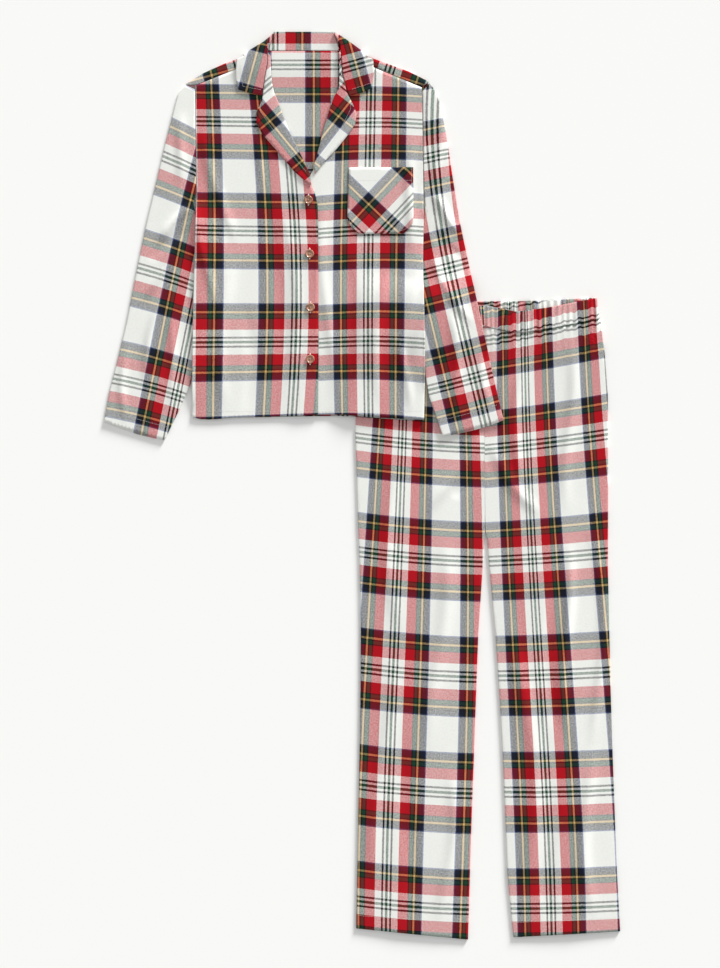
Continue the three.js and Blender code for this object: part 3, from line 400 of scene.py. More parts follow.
def cloth_object(name, points, triangles, counts, material):
    """Turns arrays into a piece with its check as a UV map, counted in half setts."""
    mesh = bpy.data.meshes.new(name)
    mesh.from_pydata(points.tolist(), [], triangles.tolist())
    corners = points[triangles]
    centres = np.repeat(corners.mean(1), 3, axis=0)
    uv = counts(corners.reshape(-1, 3), centres)
    layer = mesh.uv_layers.new(name="check")
    layer.data.foreach_set("uv", uv.astype(np.float32).ravel())
    mesh.polygons.foreach_set("use_smooth", np.ones(len(mesh.polygons), bool))
    mesh.materials.append(material)
    mesh.update()
    piece = bpy.data.objects.new(name, mesh)
    bpy.context.scene.collection.objects.link(piece)
    return piece


# Soft folds: ends in the picture, half width and height in millimetres.
FOLDS = (
    (274, 120, 272, 400, 9, -1.2),
    (262, 130, 259, 230, 7, 1.2),
    (288, 190, 290, 415, 8, 1.0),
    (204, 120, 232, 250, 9, 1.5),
    (198, 180, 214, 330, 7, 1.3),
    (228, 250, 222, 415, 11, 1.3),
    (250, 300, 247, 418, 9, -1.0),
    (330, 180, 327, 410, 9, 1.3),
    (345, 240, 350, 415, 8, -1.0),
    (385, 245, 378, 412, 10, 1.4),
    (418, 130, 404, 260, 8, 1.4),
    (421, 200, 410, 400, 8, -1.0),
    (400, 330, 408, 416, 7, 1.4),
    (186, 110, 176, 190, 8, 1.4),
    (196, 196, 158, 246, 7, 2.0),
    (190, 225, 148, 262, 6, -1.2),
    (186, 240, 140, 300, 7, 1.8),
    (166, 290, 140, 390, 8, 1.6),
    (180, 300, 164, 420, 7, 1.2),
    (128, 340, 122, 425, 7, 1.3),
    (440, 110, 436, 190, 7, 1.4),
    (428, 190, 462, 236, 7, 2.0),
    (430, 226, 462, 262, 6, -1.2),
    (430, 250, 470, 330, 7, 1.8),
    (446, 300, 462, 420, 8, 1.4),
    (480, 350, 488, 410, 6, 1.2),
    (484, 420, 430, 520, 10, 1.6),
    (486, 440, 540, 520, 10, 1.5),
    (484, 470, 452, 500, 8, -1.0),
    (398, 430, 392, 640, 12, 1.6),
    (440, 520, 436, 760, 13, 1.5),
    (384, 640, 380, 900, 12, 1.3),
    (452, 760, 444, 930, 11, 1.5),
    (412, 720, 404, 925, 11, -1.1),
    (524, 345, 516, 500, 9, 1.5),
    (566, 330, 572, 520, 10, 1.6),
    (560, 530, 574, 745, 9, 2.2),
    (548, 540, 558, 740, 7, -1.3),
    (590, 500, 600, 760, 9, 1.3),
    (520, 600, 528, 900, 12, 1.5),
    (586, 740, 592, 925, 11, 1.5),
    (548, 780, 552, 930, 10, -1.0),
)
FOLD_GAIN = 2.3
FOLD_BODY = 2.6 * MM
DEEPEST = 1.5 * MM
GATHER_PITCH = 11 * MM
GATHER_HEIGHT = 1.5 * MM
GATHER_ROWS = (0.27, 0.322)
GATHER_FADE = 0.07


def gather_share(xy):
    """How much the cloth is gathered at a place: the waist's casing, fading out below it."""
    x, y = xy[:, 0], xy[:, 1]
    low, high = GATHER_ROWS
    rows = soft_step((y - low + GATHER_FADE) / GATHER_FADE) * soft_step((high + 0.02 - y) / 0.02)
    return rows * soft_step((x - place(480, 0)[0]) / 0.02)


def puckered(xy):
    """Places shifted as the gathers pull the check up and down."""
    x, y = xy.T
    shift = 1.0 * np.sin(x * 290 + 2.2 * np.sin(x * 47)) + 0.7 * np.sin(x * 517 + 1.1 + y * 30)
    along = 1.3 * np.sin(x * 430 + y * 22)
    share = gather_share(xy)
    return np.column_stack([x + along * MM * share, y + shift * MM * share])


def soft_step(value):
    share = np.clip(value, 0, 1)
    return share * share * (3 - 2 * share)


def lifted(points):
    """Raises the cloth along its folds and gathers; the side that rests on the surface stays."""
    x, y, z = points.T
    rise = np.zeros(len(points))
    for x0, y0, x1, y1, width, height in FOLDS:
        a, b = np.array(place(x0, y0)), np.array(place(x1, y1))
        along = b - a
        length = np.linalg.norm(along)
        away = points[:, :2] - a
        t = away @ along / length**2
        bend = 0.035 * length * np.sin(math.pi * 1.6 * np.clip(t, 0, 1) + x0)
        d = (away[:, 0] * along[1] - away[:, 1] * along[0]) / length + bend
        ends = soft_step(t / 0.3) * soft_step((1 - t) / 0.3)
        rise += FOLD_GAIN * height * MM * ends * np.exp(-((d / (width * MM)) ** 2))
    wobble = 1.1 * np.sin(x * 61) + 0.8 * np.sin(x * 147 + y * 20)
    waves = 0.5 + 0.5 * np.sin(2 * math.pi * x / GATHER_PITCH + wobble)
    rise += GATHER_HEIGHT * waves * gather_share(points[:, :2])
    rise = np.where(rise < 0, DEEPEST * np.tanh(rise / DEEPEST), rise)
    share = soft_step(z / FOLD_BODY)
    return np.column_stack([x, y, z + rise * share])


def cloth_piece(name, node, counts, cell=None):
    """A finished cloth panel on its plain solid's form."""
    points, triangles = refined(*merged_arrays(node), cell or make().cell)
    points = lifted(soften_heights(points, triangles))
    piece = cloth_object(name, points, triangles, counts, flannel())
    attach(piece, BODY)
    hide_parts(node)
    SURFACES.append(piece)
    return piece


SURFACES = []


def flat_counts(table):
    fitted = check_map(CHECK_LIES[table])
    return lambda points, centres: fitted(puckered(points[:, :2]))


# How the check lies on the small pieces: a point of the picture, the counts there, and its turn.
CHECK_TURNS = {
    "shirt_back": (314.0, 94.2, -YELLOW, -YELLOW, 0.0),
    "flap_right": (212.0, 75.5, -YELLOW, -YELLOW, 15.0),
    "flap_left": (418.0, 77.0, YELLOW, -0.42, -18.0),
    "stand": (302.3, 39.0, YELLOW, 0.316, 0.0),
    "wing_right": (246.1, 93.5, -YELLOW, YELLOW - 2, -15.5),
    "wing_left": (356.1, 65.6, YELLOW, 0.0, 16.0),
    "lapel_right": (269.8, 121.8, YELLOW, -YELLOW, 39.5),
    "lapel_left": (338.6, 116.8, YELLOW, -YELLOW, -38.0),
    "pocket": (368.7, 204.9, YELLOW, YELLOW, 46.5),
}


def turned_counts(xy, table):
    px, py, across, up, turn = CHECK_TURNS[table]
    cos, sin = math.cos(math.radians(turn)), math.sin(math.radians(turn))
    away = (xy - np.array(place(px, py))) / tartan().half_sett
    return np.column_stack([
        across + away[:, 0] * cos + away[:, 1] * sin,
        up - away[:, 0] * sin + away[:, 1] * cos,
    ])


def small_counts(table):
    return lambda points, centres: turned_counts(points[:, :2], table)


WING_EDGES = (268, 338.5)


def collar_counts(points, centres):
    xy = points[:, :2]
    left, right = (place(x, 0)[0] for x in WING_EDGES)
    on_left = (centres[:, 0] < left)[:, None]
    on_right = (centres[:, 0] > right)[:, None]
    counts = turned_counts(xy, "stand")
    counts = np.where(on_left, turned_counts(xy, "wing_right"), counts)
    return np.where(on_right, turned_counts(xy, "wing_left"), counts)


FLAP_HEIGHT = 2.4 * MM
FLAP_LOW = 0.6
NECK = (262, 350)


def back_counts(points, centres):
    """The back's check, and that of its two flaps, which lie over the shoulders the other way round."""
    xy = points[:, :2]
    left, right = (place(x, 0)[0] for x in NECK)
    on_flap = (centres[:, 2] > FLAP_HEIGHT) & (centres[:, 1] > FLAP_LOW)
    on_left = (on_flap & (centres[:, 0] < left))[:, None]
    on_right = (on_flap & (centres[:, 0] > right))[:, None]
    counts = turned_counts(xy, "shirt_back")
    counts = np.where(on_left, turned_counts(xy, "flap_right"), counts)
    return np.where(on_right, turned_counts(xy, "flap_left"), counts)


# Sewing

# Topstitching, as runs of points of the picture.
TOPSTITCHING = (
    ((194, 411), (256, 411.5), (317, 412)),
    ((321, 412), (370, 412.5), (422, 411)),
    ((349.6, 168), (349.6, 222), (352, 228), (358, 230.8), (402, 230.8), (409, 228), (411.4, 221), (411.4, 168)),
    ((349.6, 181), (411.4, 181)),
    ((108, 410), (137, 419), (167, 427)),
    ((435, 422), (467, 414), (497, 405)),
    ((359, 915), (410, 919), (466, 922)),
    ((514, 922), (565, 920), (616, 917)),
    ((240, 63), (240.5, 74), (243, 87), (261, 90.5)),
    ((369.5, 62), (372.5, 74), (373, 83), (352, 90)),
    ((261, 100), (260.5, 112), (272, 129), (289, 151), (306, 172)),
    ((350, 99), (350.5, 110), (340, 131), (328, 149), (317, 164)),
    ((300, 190), (299.5, 250), (299.5, 330), (299.5, 416)),
)
STITCH_STEP = 1.2 * MM
STITCH_LIFT = 0.05 * MM
STITCH_LOW = 1 * MM


def top_finder():
    """A function that gives the height of the topmost cloth at a place, or none."""
    points, faces = [], []
    for piece in SURFACES:
        first = len(points)
        points += [v.co.copy() for v in piece.data.vertices]
        faces += [[first + i for i in p.vertices] for p in piece.data.polygons]
    tree = BVHTree.FromPolygons(points, faces)

    def top(x, y):
        hit = tree.ray_cast(Vector((x, y, 0.1)), Vector((0, 0, -1)))[0]
        return hit.z if hit else None

    return top


def stitch_tree():
    """Geometry Nodes: turns a run of edges into stitches laid end to end along it."""
    tree = bpy.data.node_groups.new("Stitches", "GeometryNodeTree")
    face = tree.interface
    face.new_socket("Geometry", in_out="INPUT", socket_type="NodeSocketGeometry")
    for label, value in (("Stitch", 2.6 * MM), ("Thread", 0.5 * MM)):
        socket = face.new_socket(label, in_out="INPUT", socket_type="NodeSocketFloat")
        socket.default_value = value
    face.new_socket("Material", in_out="INPUT", socket_type="NodeSocketMaterial")
    face.new_socket("Geometry", in_out="OUTPUT", socket_type="NodeSocketGeometry")
    given = node_of(tree, "NodeGroupInput")
    result = node_of(tree, "NodeGroupOutput")
    curve = node_of(tree, "GeometryNodeMeshToCurve")
    steps = node_of(tree, "GeometryNodeResampleCurve", mode="LENGTH")
    bead = node_of(tree, "GeometryNodeMeshIcoSphere")
    bead.inputs["Radius"].default_value = 1.0
    bead.inputs["Subdivisions"].default_value = 1
    tangent = node_of(tree, "GeometryNodeInputTangent")
    turn = node_of(tree, "FunctionNodeAlignRotationToVector", axis="X")
    size = node_of(tree, "ShaderNodeCombineXYZ")
    place_all = node_of(tree, "GeometryNodeInstanceOnPoints")
    real = node_of(tree, "GeometryNodeRealizeInstances")
    finish = node_of(tree, "GeometryNodeSetMaterial")
    link = tree.links.new
    link(given.outputs["Geometry"], curve.inputs["Mesh"])
    link(curve.outputs["Curve"], steps.inputs["Curve"])
    link(given.outputs["Stitch"], steps.inputs["Length"])
    link(tangent.outputs["Tangent"], turn.inputs["Vector"])
    link(maths(tree, "MULTIPLY", given.outputs["Stitch"], 0.4), size.inputs["X"])
    link(maths(tree, "MULTIPLY", given.outputs["Thread"], 0.5), size.inputs["Y"])
    link(maths(tree, "MULTIPLY", given.outputs["Thread"], 0.4), size.inputs["Z"])
    link(steps.outputs["Curve"], place_all.inputs["Points"])
    link(bead.outputs["Mesh"], place_all.inputs["Instance"])
    link(turn.outputs["Rotation"], place_all.inputs["Rotation"])
    link(size.outputs["Vector"], place_all.inputs["Scale"])
    link(place_all.outputs["Instances"], real.inputs["Geometry"])
    link(real.outputs["Geometry"], finish.inputs["Geometry"])
    link(given.outputs["Material"], finish.inputs["Material"])
    link(finish.outputs["Geometry"], result.inputs["Geometry"])
    return tree


def thread_material(name, colour):
    known = bpy.data.materials.get(name)
    if known:
        return known
    material = bpy.data.materials.new(name)
    material.use_nodes = True
    tree = material.node_tree
    shader = tree.nodes["Principled BSDF"]
    shader.inputs["Roughness"].default_value = 0.6
    shader.inputs["Sheen Weight"].default_value = 0.2
    coordinates = node_of(tree, "ShaderNodeTexCoord")
    plies = node_of(tree, "ShaderNodeTexNoise")
    plies.inputs["Scale"].default_value = 1400.0
    ramp = node_of(tree, "ShaderNodeValToRGB")
    ramp.color_ramp.elements[0].color = (*(0.72 * c for c in colour), 1)
    ramp.color_ramp.elements[1].color = (*colour, 1)
    tree.links.new(coordinates.outputs["Object"], plies.inputs["Vector"])
    tree.links.new(plies.outputs["Fac"], ramp.inputs[0])
    tree.links.new(ramp.outputs["Color"], shader.inputs["Base Color"])
    return material


def tube(path, radius, sides=8, closed=False):
    """Points and faces of a thread along a path, round in section."""
    path = np.array(path)
    count = len(path)
    tangents = np.roll(path, -1, 0) - np.roll(path, 1, 0) if closed else np.gradient(path, axis=0)
    tangents /= np.linalg.norm(tangents, axis=1)[:, None]
    across = np.cross(tangents, (0, 0, 1))
    across /= np.maximum(np.linalg.norm(across, axis=1), 1e-9)[:, None]
    up = np.cross(across, tangents)
    angles = np.arange(sides) * 2 * math.pi / sides
    ring = path[:, None] + radius * (
        np.cos(angles)[None, :, None] * across[:, None] + np.sin(angles)[None, :, None] * up[:, None]
    )
    points = [tuple(p) for p in ring.reshape(-1, 3)]
    faces = []
    for i in range(count if closed else count - 1):
        j = (i + 1) % count
        for k in range(sides):
            m = (k + 1) % sides
            faces.append((i * sides + k, i * sides + m, j * sides + m, j * sides + k))
    if not closed:
        faces.append(tuple(range(sides))[::-1])
        faces.append(tuple((count - 1) * sides + k for k in range(sides)))
    return points, faces


def outward(mesh):
    """Turns every face of a closed mesh outwards."""
    bm = bmesh.new()
    bm.from_mesh(mesh)
    bmesh.ops.recalc_face_normals(bm, faces=bm.faces)
    bm.to_mesh(mesh)
    bm.free()


BUTTON_RINGS = 22
BUTTON_SPOKES = 64
HOLE_PLACE = 1.45 * MM
HOLE_RADIUS = 0.8 * MM


def button_mesh(name, centre, radius, low, high):
    """A turned button with a raised rim and four holes."""
    tall = high - low
    points = [(centre[0], centre[1], low + 0.55 * tall)]
    faces = []
    for i in range(1, BUTTON_RINGS + 1):
        r = i / BUTTON_RINGS
        rim = math.exp(-(((r - 0.82) / 0.13) ** 2))
        height = (0.55 + 0.45 * rim) * tall
        if r > 0.86:
            height -= 0.6 * tall * ((r - 0.86) / 0.14) ** 2
        for k in range(BUTTON_SPOKES):
            angle = k * 2 * math.pi / BUTTON_SPOKES
            x, y = r * radius * math.cos(angle), r * radius * math.sin(angle)
            away = math.hypot(abs(x) - HOLE_PLACE, abs(y) - HOLE_PLACE)
            pit = 1 / (1 + math.exp((away - HOLE_RADIUS) / (0.12 * MM)))
            points.append((centre[0] + x, centre[1] + y, low + height - pit * 0.42 * tall))
    for k in range(BUTTON_SPOKES):
        m = (k + 1) % BUTTON_SPOKES
        faces.append((0, 1 + k, 1 + m))
        for i in range(BUTTON_RINGS - 1):
            a, b = 1 + i * BUTTON_SPOKES, 1 + (i + 1) * BUTTON_SPOKES
            faces.append((a + k, b + k, b + m, a + m))
    last = 1 + (BUTTON_RINGS - 1) * BUTTON_SPOKES
    base = len(points)
    points += [(p[0], p[1], low) for p in points[last:last + BUTTON_SPOKES]]
    for k in range(BUTTON_SPOKES):
        m = (k + 1) % BUTTON_SPOKES
        faces.append((last + k, base + k, base + m, last + m))
    faces.append(tuple(base + k for k in range(BUTTON_SPOKES))[::-1])
    rows = len(faces)
    for slope in (1, -1):
        path = [
            (centre[0] + t * HOLE_PLACE, centre[1] + slope * t * HOLE_PLACE, low + tall * (0.72 - 0.5 * t**4))
            for t in np.linspace(-1.05, 1.05, 11)
        ]
        first = len(points)
        more, skin = tube(path, 0.32 * MM)
        points += more
        faces += [tuple(first + i for i in f) for f in skin]
    mesh = bpy.data.meshes.new(name)
    mesh.from_pydata(points, [], faces)
    mesh.materials.append(button_material())
    mesh.materials.append(thread_material("Button thread", (0.55, 0.36, 0.26)))
    for index, polygon in enumerate(mesh.polygons):
        polygon.material_index = int(index >= rows)
        polygon.use_smooth = True
    outward(mesh)
    return mesh


# Materials


def node_of(tree, kind, place_at=(0, 0), **values):
    node = tree.nodes.new(kind)
    node.location = place_at
    for key, value in values.items():
        setattr(node, key, value)
    return node


def maths(tree, operation, a, b=None, clamp=False):
    """A Math node; a and b are sockets or numbers."""
    node = node_of(tree, "ShaderNodeMath", operation=operation, use_clamp=clamp)
    for index, value in enumerate((a, b)):
        if value is None:
            continue
        if isinstance(value, (int, float)):
            node.inputs[index].default_value = value
        else:
            tree.links.new(value, node.inputs[index])
    return node.outputs[0]


def yarn_ramp(tree, count):
    """The colour of the yarn at a count of half setts."""
    folded = maths(tree, "PINGPONG", count, 1.0)
    ramp = node_of(tree, "ShaderNodeValToRGB")
    ramp.color_ramp.interpolation = "CONSTANT"
    elements = ramp.color_ramp.elements
    total = sum(width for width, _ in HALF_SETT_BANDS)
    start = 0.0
    colours = {key: tuple(getattr(tartan(), key)) for key in YARNS}
    for index, (width, yarn) in enumerate(HALF_SETT_BANDS):
        element = elements[0] if index == 0 else elements[1] if index == 1 else elements.new(start / total)
        element.position = start / total
        element.color = (*colours[yarn], 1)
        start += width
    tree.links.new(folded, ramp.inputs[0])
    return ramp.outputs["Color"]


def tartan_group():
    """Colours of a twill woven check. In: half-sett counts. Out: colour and surface height."""
    known = bpy.data.node_groups.get("Tartan flannel")
    if known:
        return known
    tree = bpy.data.node_groups.new("Tartan flannel", "ShaderNodeTree")
    face = tree.interface
    face.new_socket("Counts", in_out="INPUT", socket_type="NodeSocketVector")
    for label, value in (
        ("Warp share", tartan().warp_share),
        ("Mottle", 1.15),
        ("Nap", 1.0),
    ):
        socket = face.new_socket(label, in_out="INPUT", socket_type="NodeSocketFloat")
        socket.default_value = value
    face.new_socket("Colour", in_out="OUTPUT", socket_type="NodeSocketColor")
    face.new_socket("Height", in_out="OUTPUT", socket_type="NodeSocketFloat")
    given = node_of(tree, "NodeGroupInput")
    result = node_of(tree, "NodeGroupOutput")
    link = tree.links.new
    half = tartan().half_sett

    fibre = node_of(tree, "ShaderNodeTexNoise", noise_dimensions="2D")
    fibre.inputs["Scale"].default_value = half / (2.3 * MM)
    fibre.inputs["Detail"].default_value = 3.0
    fibre.inputs["Roughness"].default_value = 0.7
    link(given.outputs["Counts"], fibre.inputs["Vector"])
    cloud = node_of(tree, "ShaderNodeTexNoise", noise_dimensions="2D")
    cloud.inputs["Scale"].default_value = half / (3.4 * MM)
    cloud.inputs["Detail"].default_value = 2.0
    link(given.outputs["Counts"], cloud.inputs["Vector"])

    # Yarns wander a little, so that the bands' edges aren't ruled.
    wander = node_of(tree, "ShaderNodeVectorMath", operation="MULTIPLY_ADD")
    centred = node_of(tree, "ShaderNodeVectorMath", operation="SUBTRACT")
    link(cloud.outputs["Color"], centred.inputs[0])
    centred.inputs[1].default_value = (0.5, 0.5, 0.5)
    link(centred.outputs[0], wander.inputs[0])
    wander.inputs[1].default_value = (0.010, 0.010, 0)
    link(given.outputs["Counts"], wander.inputs[2])
    parts = node_of(tree, "ShaderNodeSeparateXYZ")
    link(wander.outputs[0], parts.inputs[0])
    warp = yarn_ramp(tree, parts.outputs["X"])
    weft = yarn_ramp(tree, parts.outputs["Y"])

    # Twill: each thread floats over two and under two, one step on in each row.
    steps = half / (0.55 * MM)
    sums = maths(tree, "MULTIPLY", maths(tree, "ADD", parts.outputs["X"], parts.outputs["Y"]), steps)
    twill = maths(tree, "PINGPONG", sums, 1.0)
    mottled = maths(tree, "SUBTRACT", fibre.outputs["Fac"], 0.5)
    spread = maths(tree, "MULTIPLY", mottled, given.outputs["Mottle"])
    face_share = maths(tree, "ADD", given.outputs["Warp share"], spread)
    ridged = maths(tree, "MULTIPLY", maths(tree, "SUBTRACT", twill, 0.5), 0.16)
    share = maths(tree, "ADD", face_share, ridged, clamp=True)

    mix = node_of(tree, "ShaderNodeMix", data_type="RGBA", blend_type="MIX")
    link(share, mix.inputs[0])
    link(weft, mix.inputs[6])
    link(warp, mix.inputs[7])
    # Two dark yarns together look darker than their mean, a dark one on white does not.
    light = [node_of(tree, "ShaderNodeRGBToBW") for _ in range(2)]
    link(warp, light[0].inputs[0])
    link(weft, light[1].inputs[0])
    lighter = maths(tree, "MAXIMUM", light[0].outputs[0], light[1].outputs[0])
    depth = maths(tree, "SUBTRACT", 0.60, maths(tree, "MULTIPLY", lighter, 0.36), clamp=True)
    dark = node_of(tree, "ShaderNodeMix", data_type="RGBA", blend_type="MULTIPLY")
    dark.inputs[0].default_value = 1.0
    link(weft, dark.inputs[6])
    link(warp, dark.inputs[7])
    deep = node_of(tree, "ShaderNodeMix", data_type="RGBA", blend_type="MIX")
    link(depth, deep.inputs[0])
    link(mix.outputs[2], deep.inputs[6])
    link(dark.outputs[2], deep.inputs[7])
    bright = maths(tree, "ADD", maths(tree, "MULTIPLY", maths(tree, "SUBTRACT", cloud.outputs["Fac"], 0.5), 0.10), 1.0)
    shade = node_of(tree, "ShaderNodeVectorMath", operation="SCALE")
    link(deep.outputs[2], shade.inputs[0])
    link(bright, shade.inputs["Scale"])
    link(shade.outputs[0], result.inputs["Colour"])
    fluff = maths(tree, "MULTIPLY", fibre.outputs["Fac"], given.outputs["Nap"])
    link(maths(tree, "ADD", fluff, maths(tree, "MULTIPLY", twill, 0.35)), result.inputs["Height"])
    return tree


def flannel():
    """Brushed cotton flannel in the check, both sides alike."""
    known = bpy.data.materials.get("Flannel")
    if known:
        return known
    material = bpy.data.materials.new("Flannel")
    material.use_nodes = True
    tree = material.node_tree
    shader = tree.nodes["Principled BSDF"]
    shader.inputs["Roughness"].default_value = 0.92
    shader.inputs["Specular IOR Level"].default_value = 0.1
    shader.inputs["Sheen Weight"].default_value = 0.12
    shader.inputs["Sheen Roughness"].default_value = 0.55
    uv = node_of(tree, "ShaderNodeUVMap", uv_map="check")
    cloth = node_of(tree, "ShaderNodeGroup", node_tree=tartan_group())
    bump = node_of(tree, "ShaderNodeBump")
    bump.inputs["Strength"].default_value = 0.35
    bump.inputs["Distance"].default_value = 0.4 * MM
    tree.links.new(uv.outputs["UV"], cloth.inputs["Counts"])
    tree.links.new(cloth.outputs["Colour"], shader.inputs["Base Color"])
    tree.links.new(cloth.outputs["Height"], bump.inputs["Height"])
    tree.links.new(bump.outputs["Normal"], shader.inputs["Normal"])
    return material


def button_material():
    """Tan resin with darker clouds."""
    known = bpy.data.materials.get("Button resin")
    if known:
        return known
    material = bpy.data.materials.new("Button resin")
    material.use_nodes = True
    tree = material.node_tree
    shader = tree.nodes["Principled BSDF"]
    shader.inputs["Roughness"].default_value = 0.32
    shader.inputs["Coat Weight"].default_value = 0.25
    coordinates = node_of(tree, "ShaderNodeTexCoord")
    noise = node_of(tree, "ShaderNodeTexNoise")
    noise.inputs["Scale"].default_value = 190.0
    noise.inputs["Detail"].default_value = 3.0
    noise.inputs["Distortion"].default_value = 1.2
    ramp = node_of(tree, "ShaderNodeValToRGB")
    ramp.color_ramp.elements[0].position = 0.35
    ramp.color_ramp.elements[0].color = (0.20, 0.075, 0.045, 1)
    ramp.color_ramp.elements[1].position = 0.65
    ramp.color_ramp.elements[1].color = (0.50, 0.26, 0.16, 1)
    tree.links.new(coordinates.outputs["Object"], noise.inputs["Vector"])
    tree.links.new(noise.outputs["Fac"], ramp.inputs[0])
    tree.links.new(ramp.outputs["Color"], shader.inputs["Base Color"])
    return material


class PYJAMA_OT_shirt_body(bpy.types.Operator):
    """Make the shirt's back and its two fronts"""

    bl_idname = "pyjama.shirt_body"
    bl_label = "Shirt body"

    def execute(self, context):
        cloth_piece("shirt_back_cloth", "shirt_back", back_counts)
        cloth_piece(
            "shirt_front_right_cloth", "shirt_front_right", flat_counts("shirt_front_right"),
        )
        cloth_piece(
            "shirt_front_left_cloth", "shirt_front_left", flat_counts("shirt_front_left"),
        )
        return {"FINISHED"}


class PYJAMA_OT_sleeves(bpy.types.Operator):
    """Make the two sleeves"""

    bl_idname = "pyjama.sleeves"
    bl_label = "Sleeves"

    def execute(self, context):
        cloth_piece("sleeve_right_cloth", "sleeve_right", flat_counts("sleeve_right"))
        cloth_piece(
            "sleeve_left_cloth", "sleeve_left", flat_counts("sleeve_left"),
        )
        return {"FINISHED"}


class PYJAMA_OT_collar(bpy.types.Operator):
    """Make the collar and the two turned-back lapels"""

    bl_idname = "pyjama.collar"
    bl_label = "Collar and lapels"

    def execute(self, context):
        cloth_piece(
            "collar_cloth", "collar", collar_counts,
            cell=3 * MM,
        )
        cloth_piece(
            "lapel_right_cloth", "lapel_right", small_counts("lapel_right"),
        )
        cloth_piece(
            "lapel_left_cloth", "lapel_left", small_counts("lapel_left"),
        )
        return {"FINISHED"}


class PYJAMA_OT_pocket(bpy.types.Operator):
    """Make the chest pocket, cut on the bias"""

    bl_idname = "pyjama.pocket"
    bl_label = "Pocket"

    def execute(self, context):
        cloth_piece(
            "pocket_cloth", "pocket", small_counts("pocket"),
        )
        return {"FINISHED"}


# The back of the waist shows its inside above the front, with the check in another place.
BACK_WAIST_TOP = 5 * MM
BACK_WAIST_LOW = 0.25
BACK_WAIST_SHIFT = np.array((0.36, -0.62))


class PYJAMA_OT_trousers(bpy.types.Operator):
    """Make the trousers' four leg panels and the waistband"""

    bl_idname = "pyjama.trousers"
    bl_label = "Trousers"

    def execute(self, context):
        for side, area in (("right", 0.213), ("left", 0.206)):
            counts = flat_counts(f"leg_front_{side}")
            cloth_piece(f"leg_back_{side}_cloth", f"leg_back_{side}", counts)
            cloth_piece(
                f"leg_front_{side}_cloth", f"leg_front_{side}", counts,
            )
        left, right = (check_map(CHECK_LIES[f"leg_front_{side}"]) for side in ("right", "left"))
        seam = place(484, 0)[0]

        def band(points, centres):
            xy = puckered(points[:, :2])
            counts = np.where((centres[:, 0] < seam)[:, None], left(xy), right(xy))
            inside = (centres[:, 2] < BACK_WAIST_TOP) & (centres[:, 1] > BACK_WAIST_LOW)
            return np.where(inside[:, None], counts + BACK_WAIST_SHIFT, counts)

        cloth_piece("waistband_cloth", "waistband", band, cell=3.5 * MM)
        return {"FINISHED"}


class PYJAMA_OT_buttons(bpy.types.Operator):
    """Finish the four buttons"""

    bl_idname = "pyjama.buttons"
    bl_label = "Buttons"

    def execute(self, context):
        for node in [name for name in NODES if name.startswith("button_")]:
            low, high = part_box(node)
            centre = ((low[0] + high[0]) / 2, (low[1] + high[1]) / 2)
            mesh = button_mesh(f"{node}_turned", centre, (high[0] - low[0]) / 2, low[2], high[2])
            piece = bpy.data.objects.new(f"{node}_turned", mesh)
            context.scene.collection.objects.link(piece)
            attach(piece, BODY)
            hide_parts(node)
        return {"FINISHED"}


HOLE_LENGTH = 19 * MM
HOLE_WIDTH = 1.6 * MM


class PYJAMA_OT_sewing(bpy.types.Operator):
    """Sew the topstitching and the four buttonholes"""

    bl_idname = "pyjama.sewing"
    bl_label = "Sewing"

    def execute(self, context):
        top = top_finder()
        points, edges = [], []
        for run in TOPSTITCHING:
            corners = [np.array(place(*corner)) for corner in run]
            last = None
            for a, b in zip(corners, corners[1:]):
                count = max(2, int(np.linalg.norm(b - a) / STITCH_STEP))
                for t in np.linspace(0, 1, count, endpoint=False):
                    x, y = a + (b - a) * t
                    z = top(x, y)
                    if z is None or z < STITCH_LOW:
                        last = None
                        continue
                    points.append((x, y, z + STITCH_LIFT))
                    if last is not None:
                        edges.append((last, len(points) - 1))
                    last = len(points) - 1
        mesh = bpy.data.meshes.new("topstitching")
        mesh.from_pydata(points, edges, [])
        piece = bpy.data.objects.new("topstitching", mesh)
        context.scene.collection.objects.link(piece)
        tree = stitch_tree()
        modifier = piece.modifiers.new("Stitches", "NODES")
        modifier.node_group = tree
        given = {
            "Stitch": make().stitch,
            "Thread": make().thread,
            "Material": thread_material("Sewing thread", (0.74, 0.70, 0.66)),
        }
        for item in tree.interface.items_tree:
            if item.in_out == "INPUT" and item.name in given:
                modifier[item.identifier] = given[item.name]
        context.view_layer.update()
        shown = piece.evaluated_get(context.evaluated_depsgraph_get())
        piece.data = bpy.data.meshes.new_from_object(shown)
        piece.modifiers.clear()
        if not piece.data.polygons:
            raise RuntimeError("no stitch was made")
        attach(piece, BODY)

        points, faces = [], []
        for node in [name for name in NODES if name.startswith("button_")]:
            low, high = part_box(node)
            x, y = (low[0] + high[0]) / 2, (low[1] + high[1]) / 2
            loop = []
            for angle in np.linspace(0, 2 * math.pi, 40, endpoint=False):
                px = x + HOLE_WIDTH / 2 * math.cos(angle)
                py = y + HOLE_LENGTH / 2 * math.copysign(abs(math.sin(angle)) ** 0.6, math.sin(angle))
                loop.append((px, py, min((top(px, py) or 0) + 0.2 * MM, low[2] + 0.1 * MM)))
            first = len(points)
            more, skin = tube(loop, 0.75 * MM, closed=True)
            points += more
            faces += [tuple(first + i for i in f) for f in skin]
        mesh = bpy.data.meshes.new("buttonholes")
        mesh.from_pydata(points, [], faces)
        mesh.materials.append(thread_material("Buttonhole thread", (0.80, 0.72, 0.66)))
        mesh.polygons.foreach_set("use_smooth", np.ones(len(mesh.polygons), bool))
        outward(mesh)
        holes = bpy.data.objects.new("buttonholes", mesh)
        context.scene.collection.objects.link(holes)
        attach(holes, BODY)
        return {"FINISHED"}


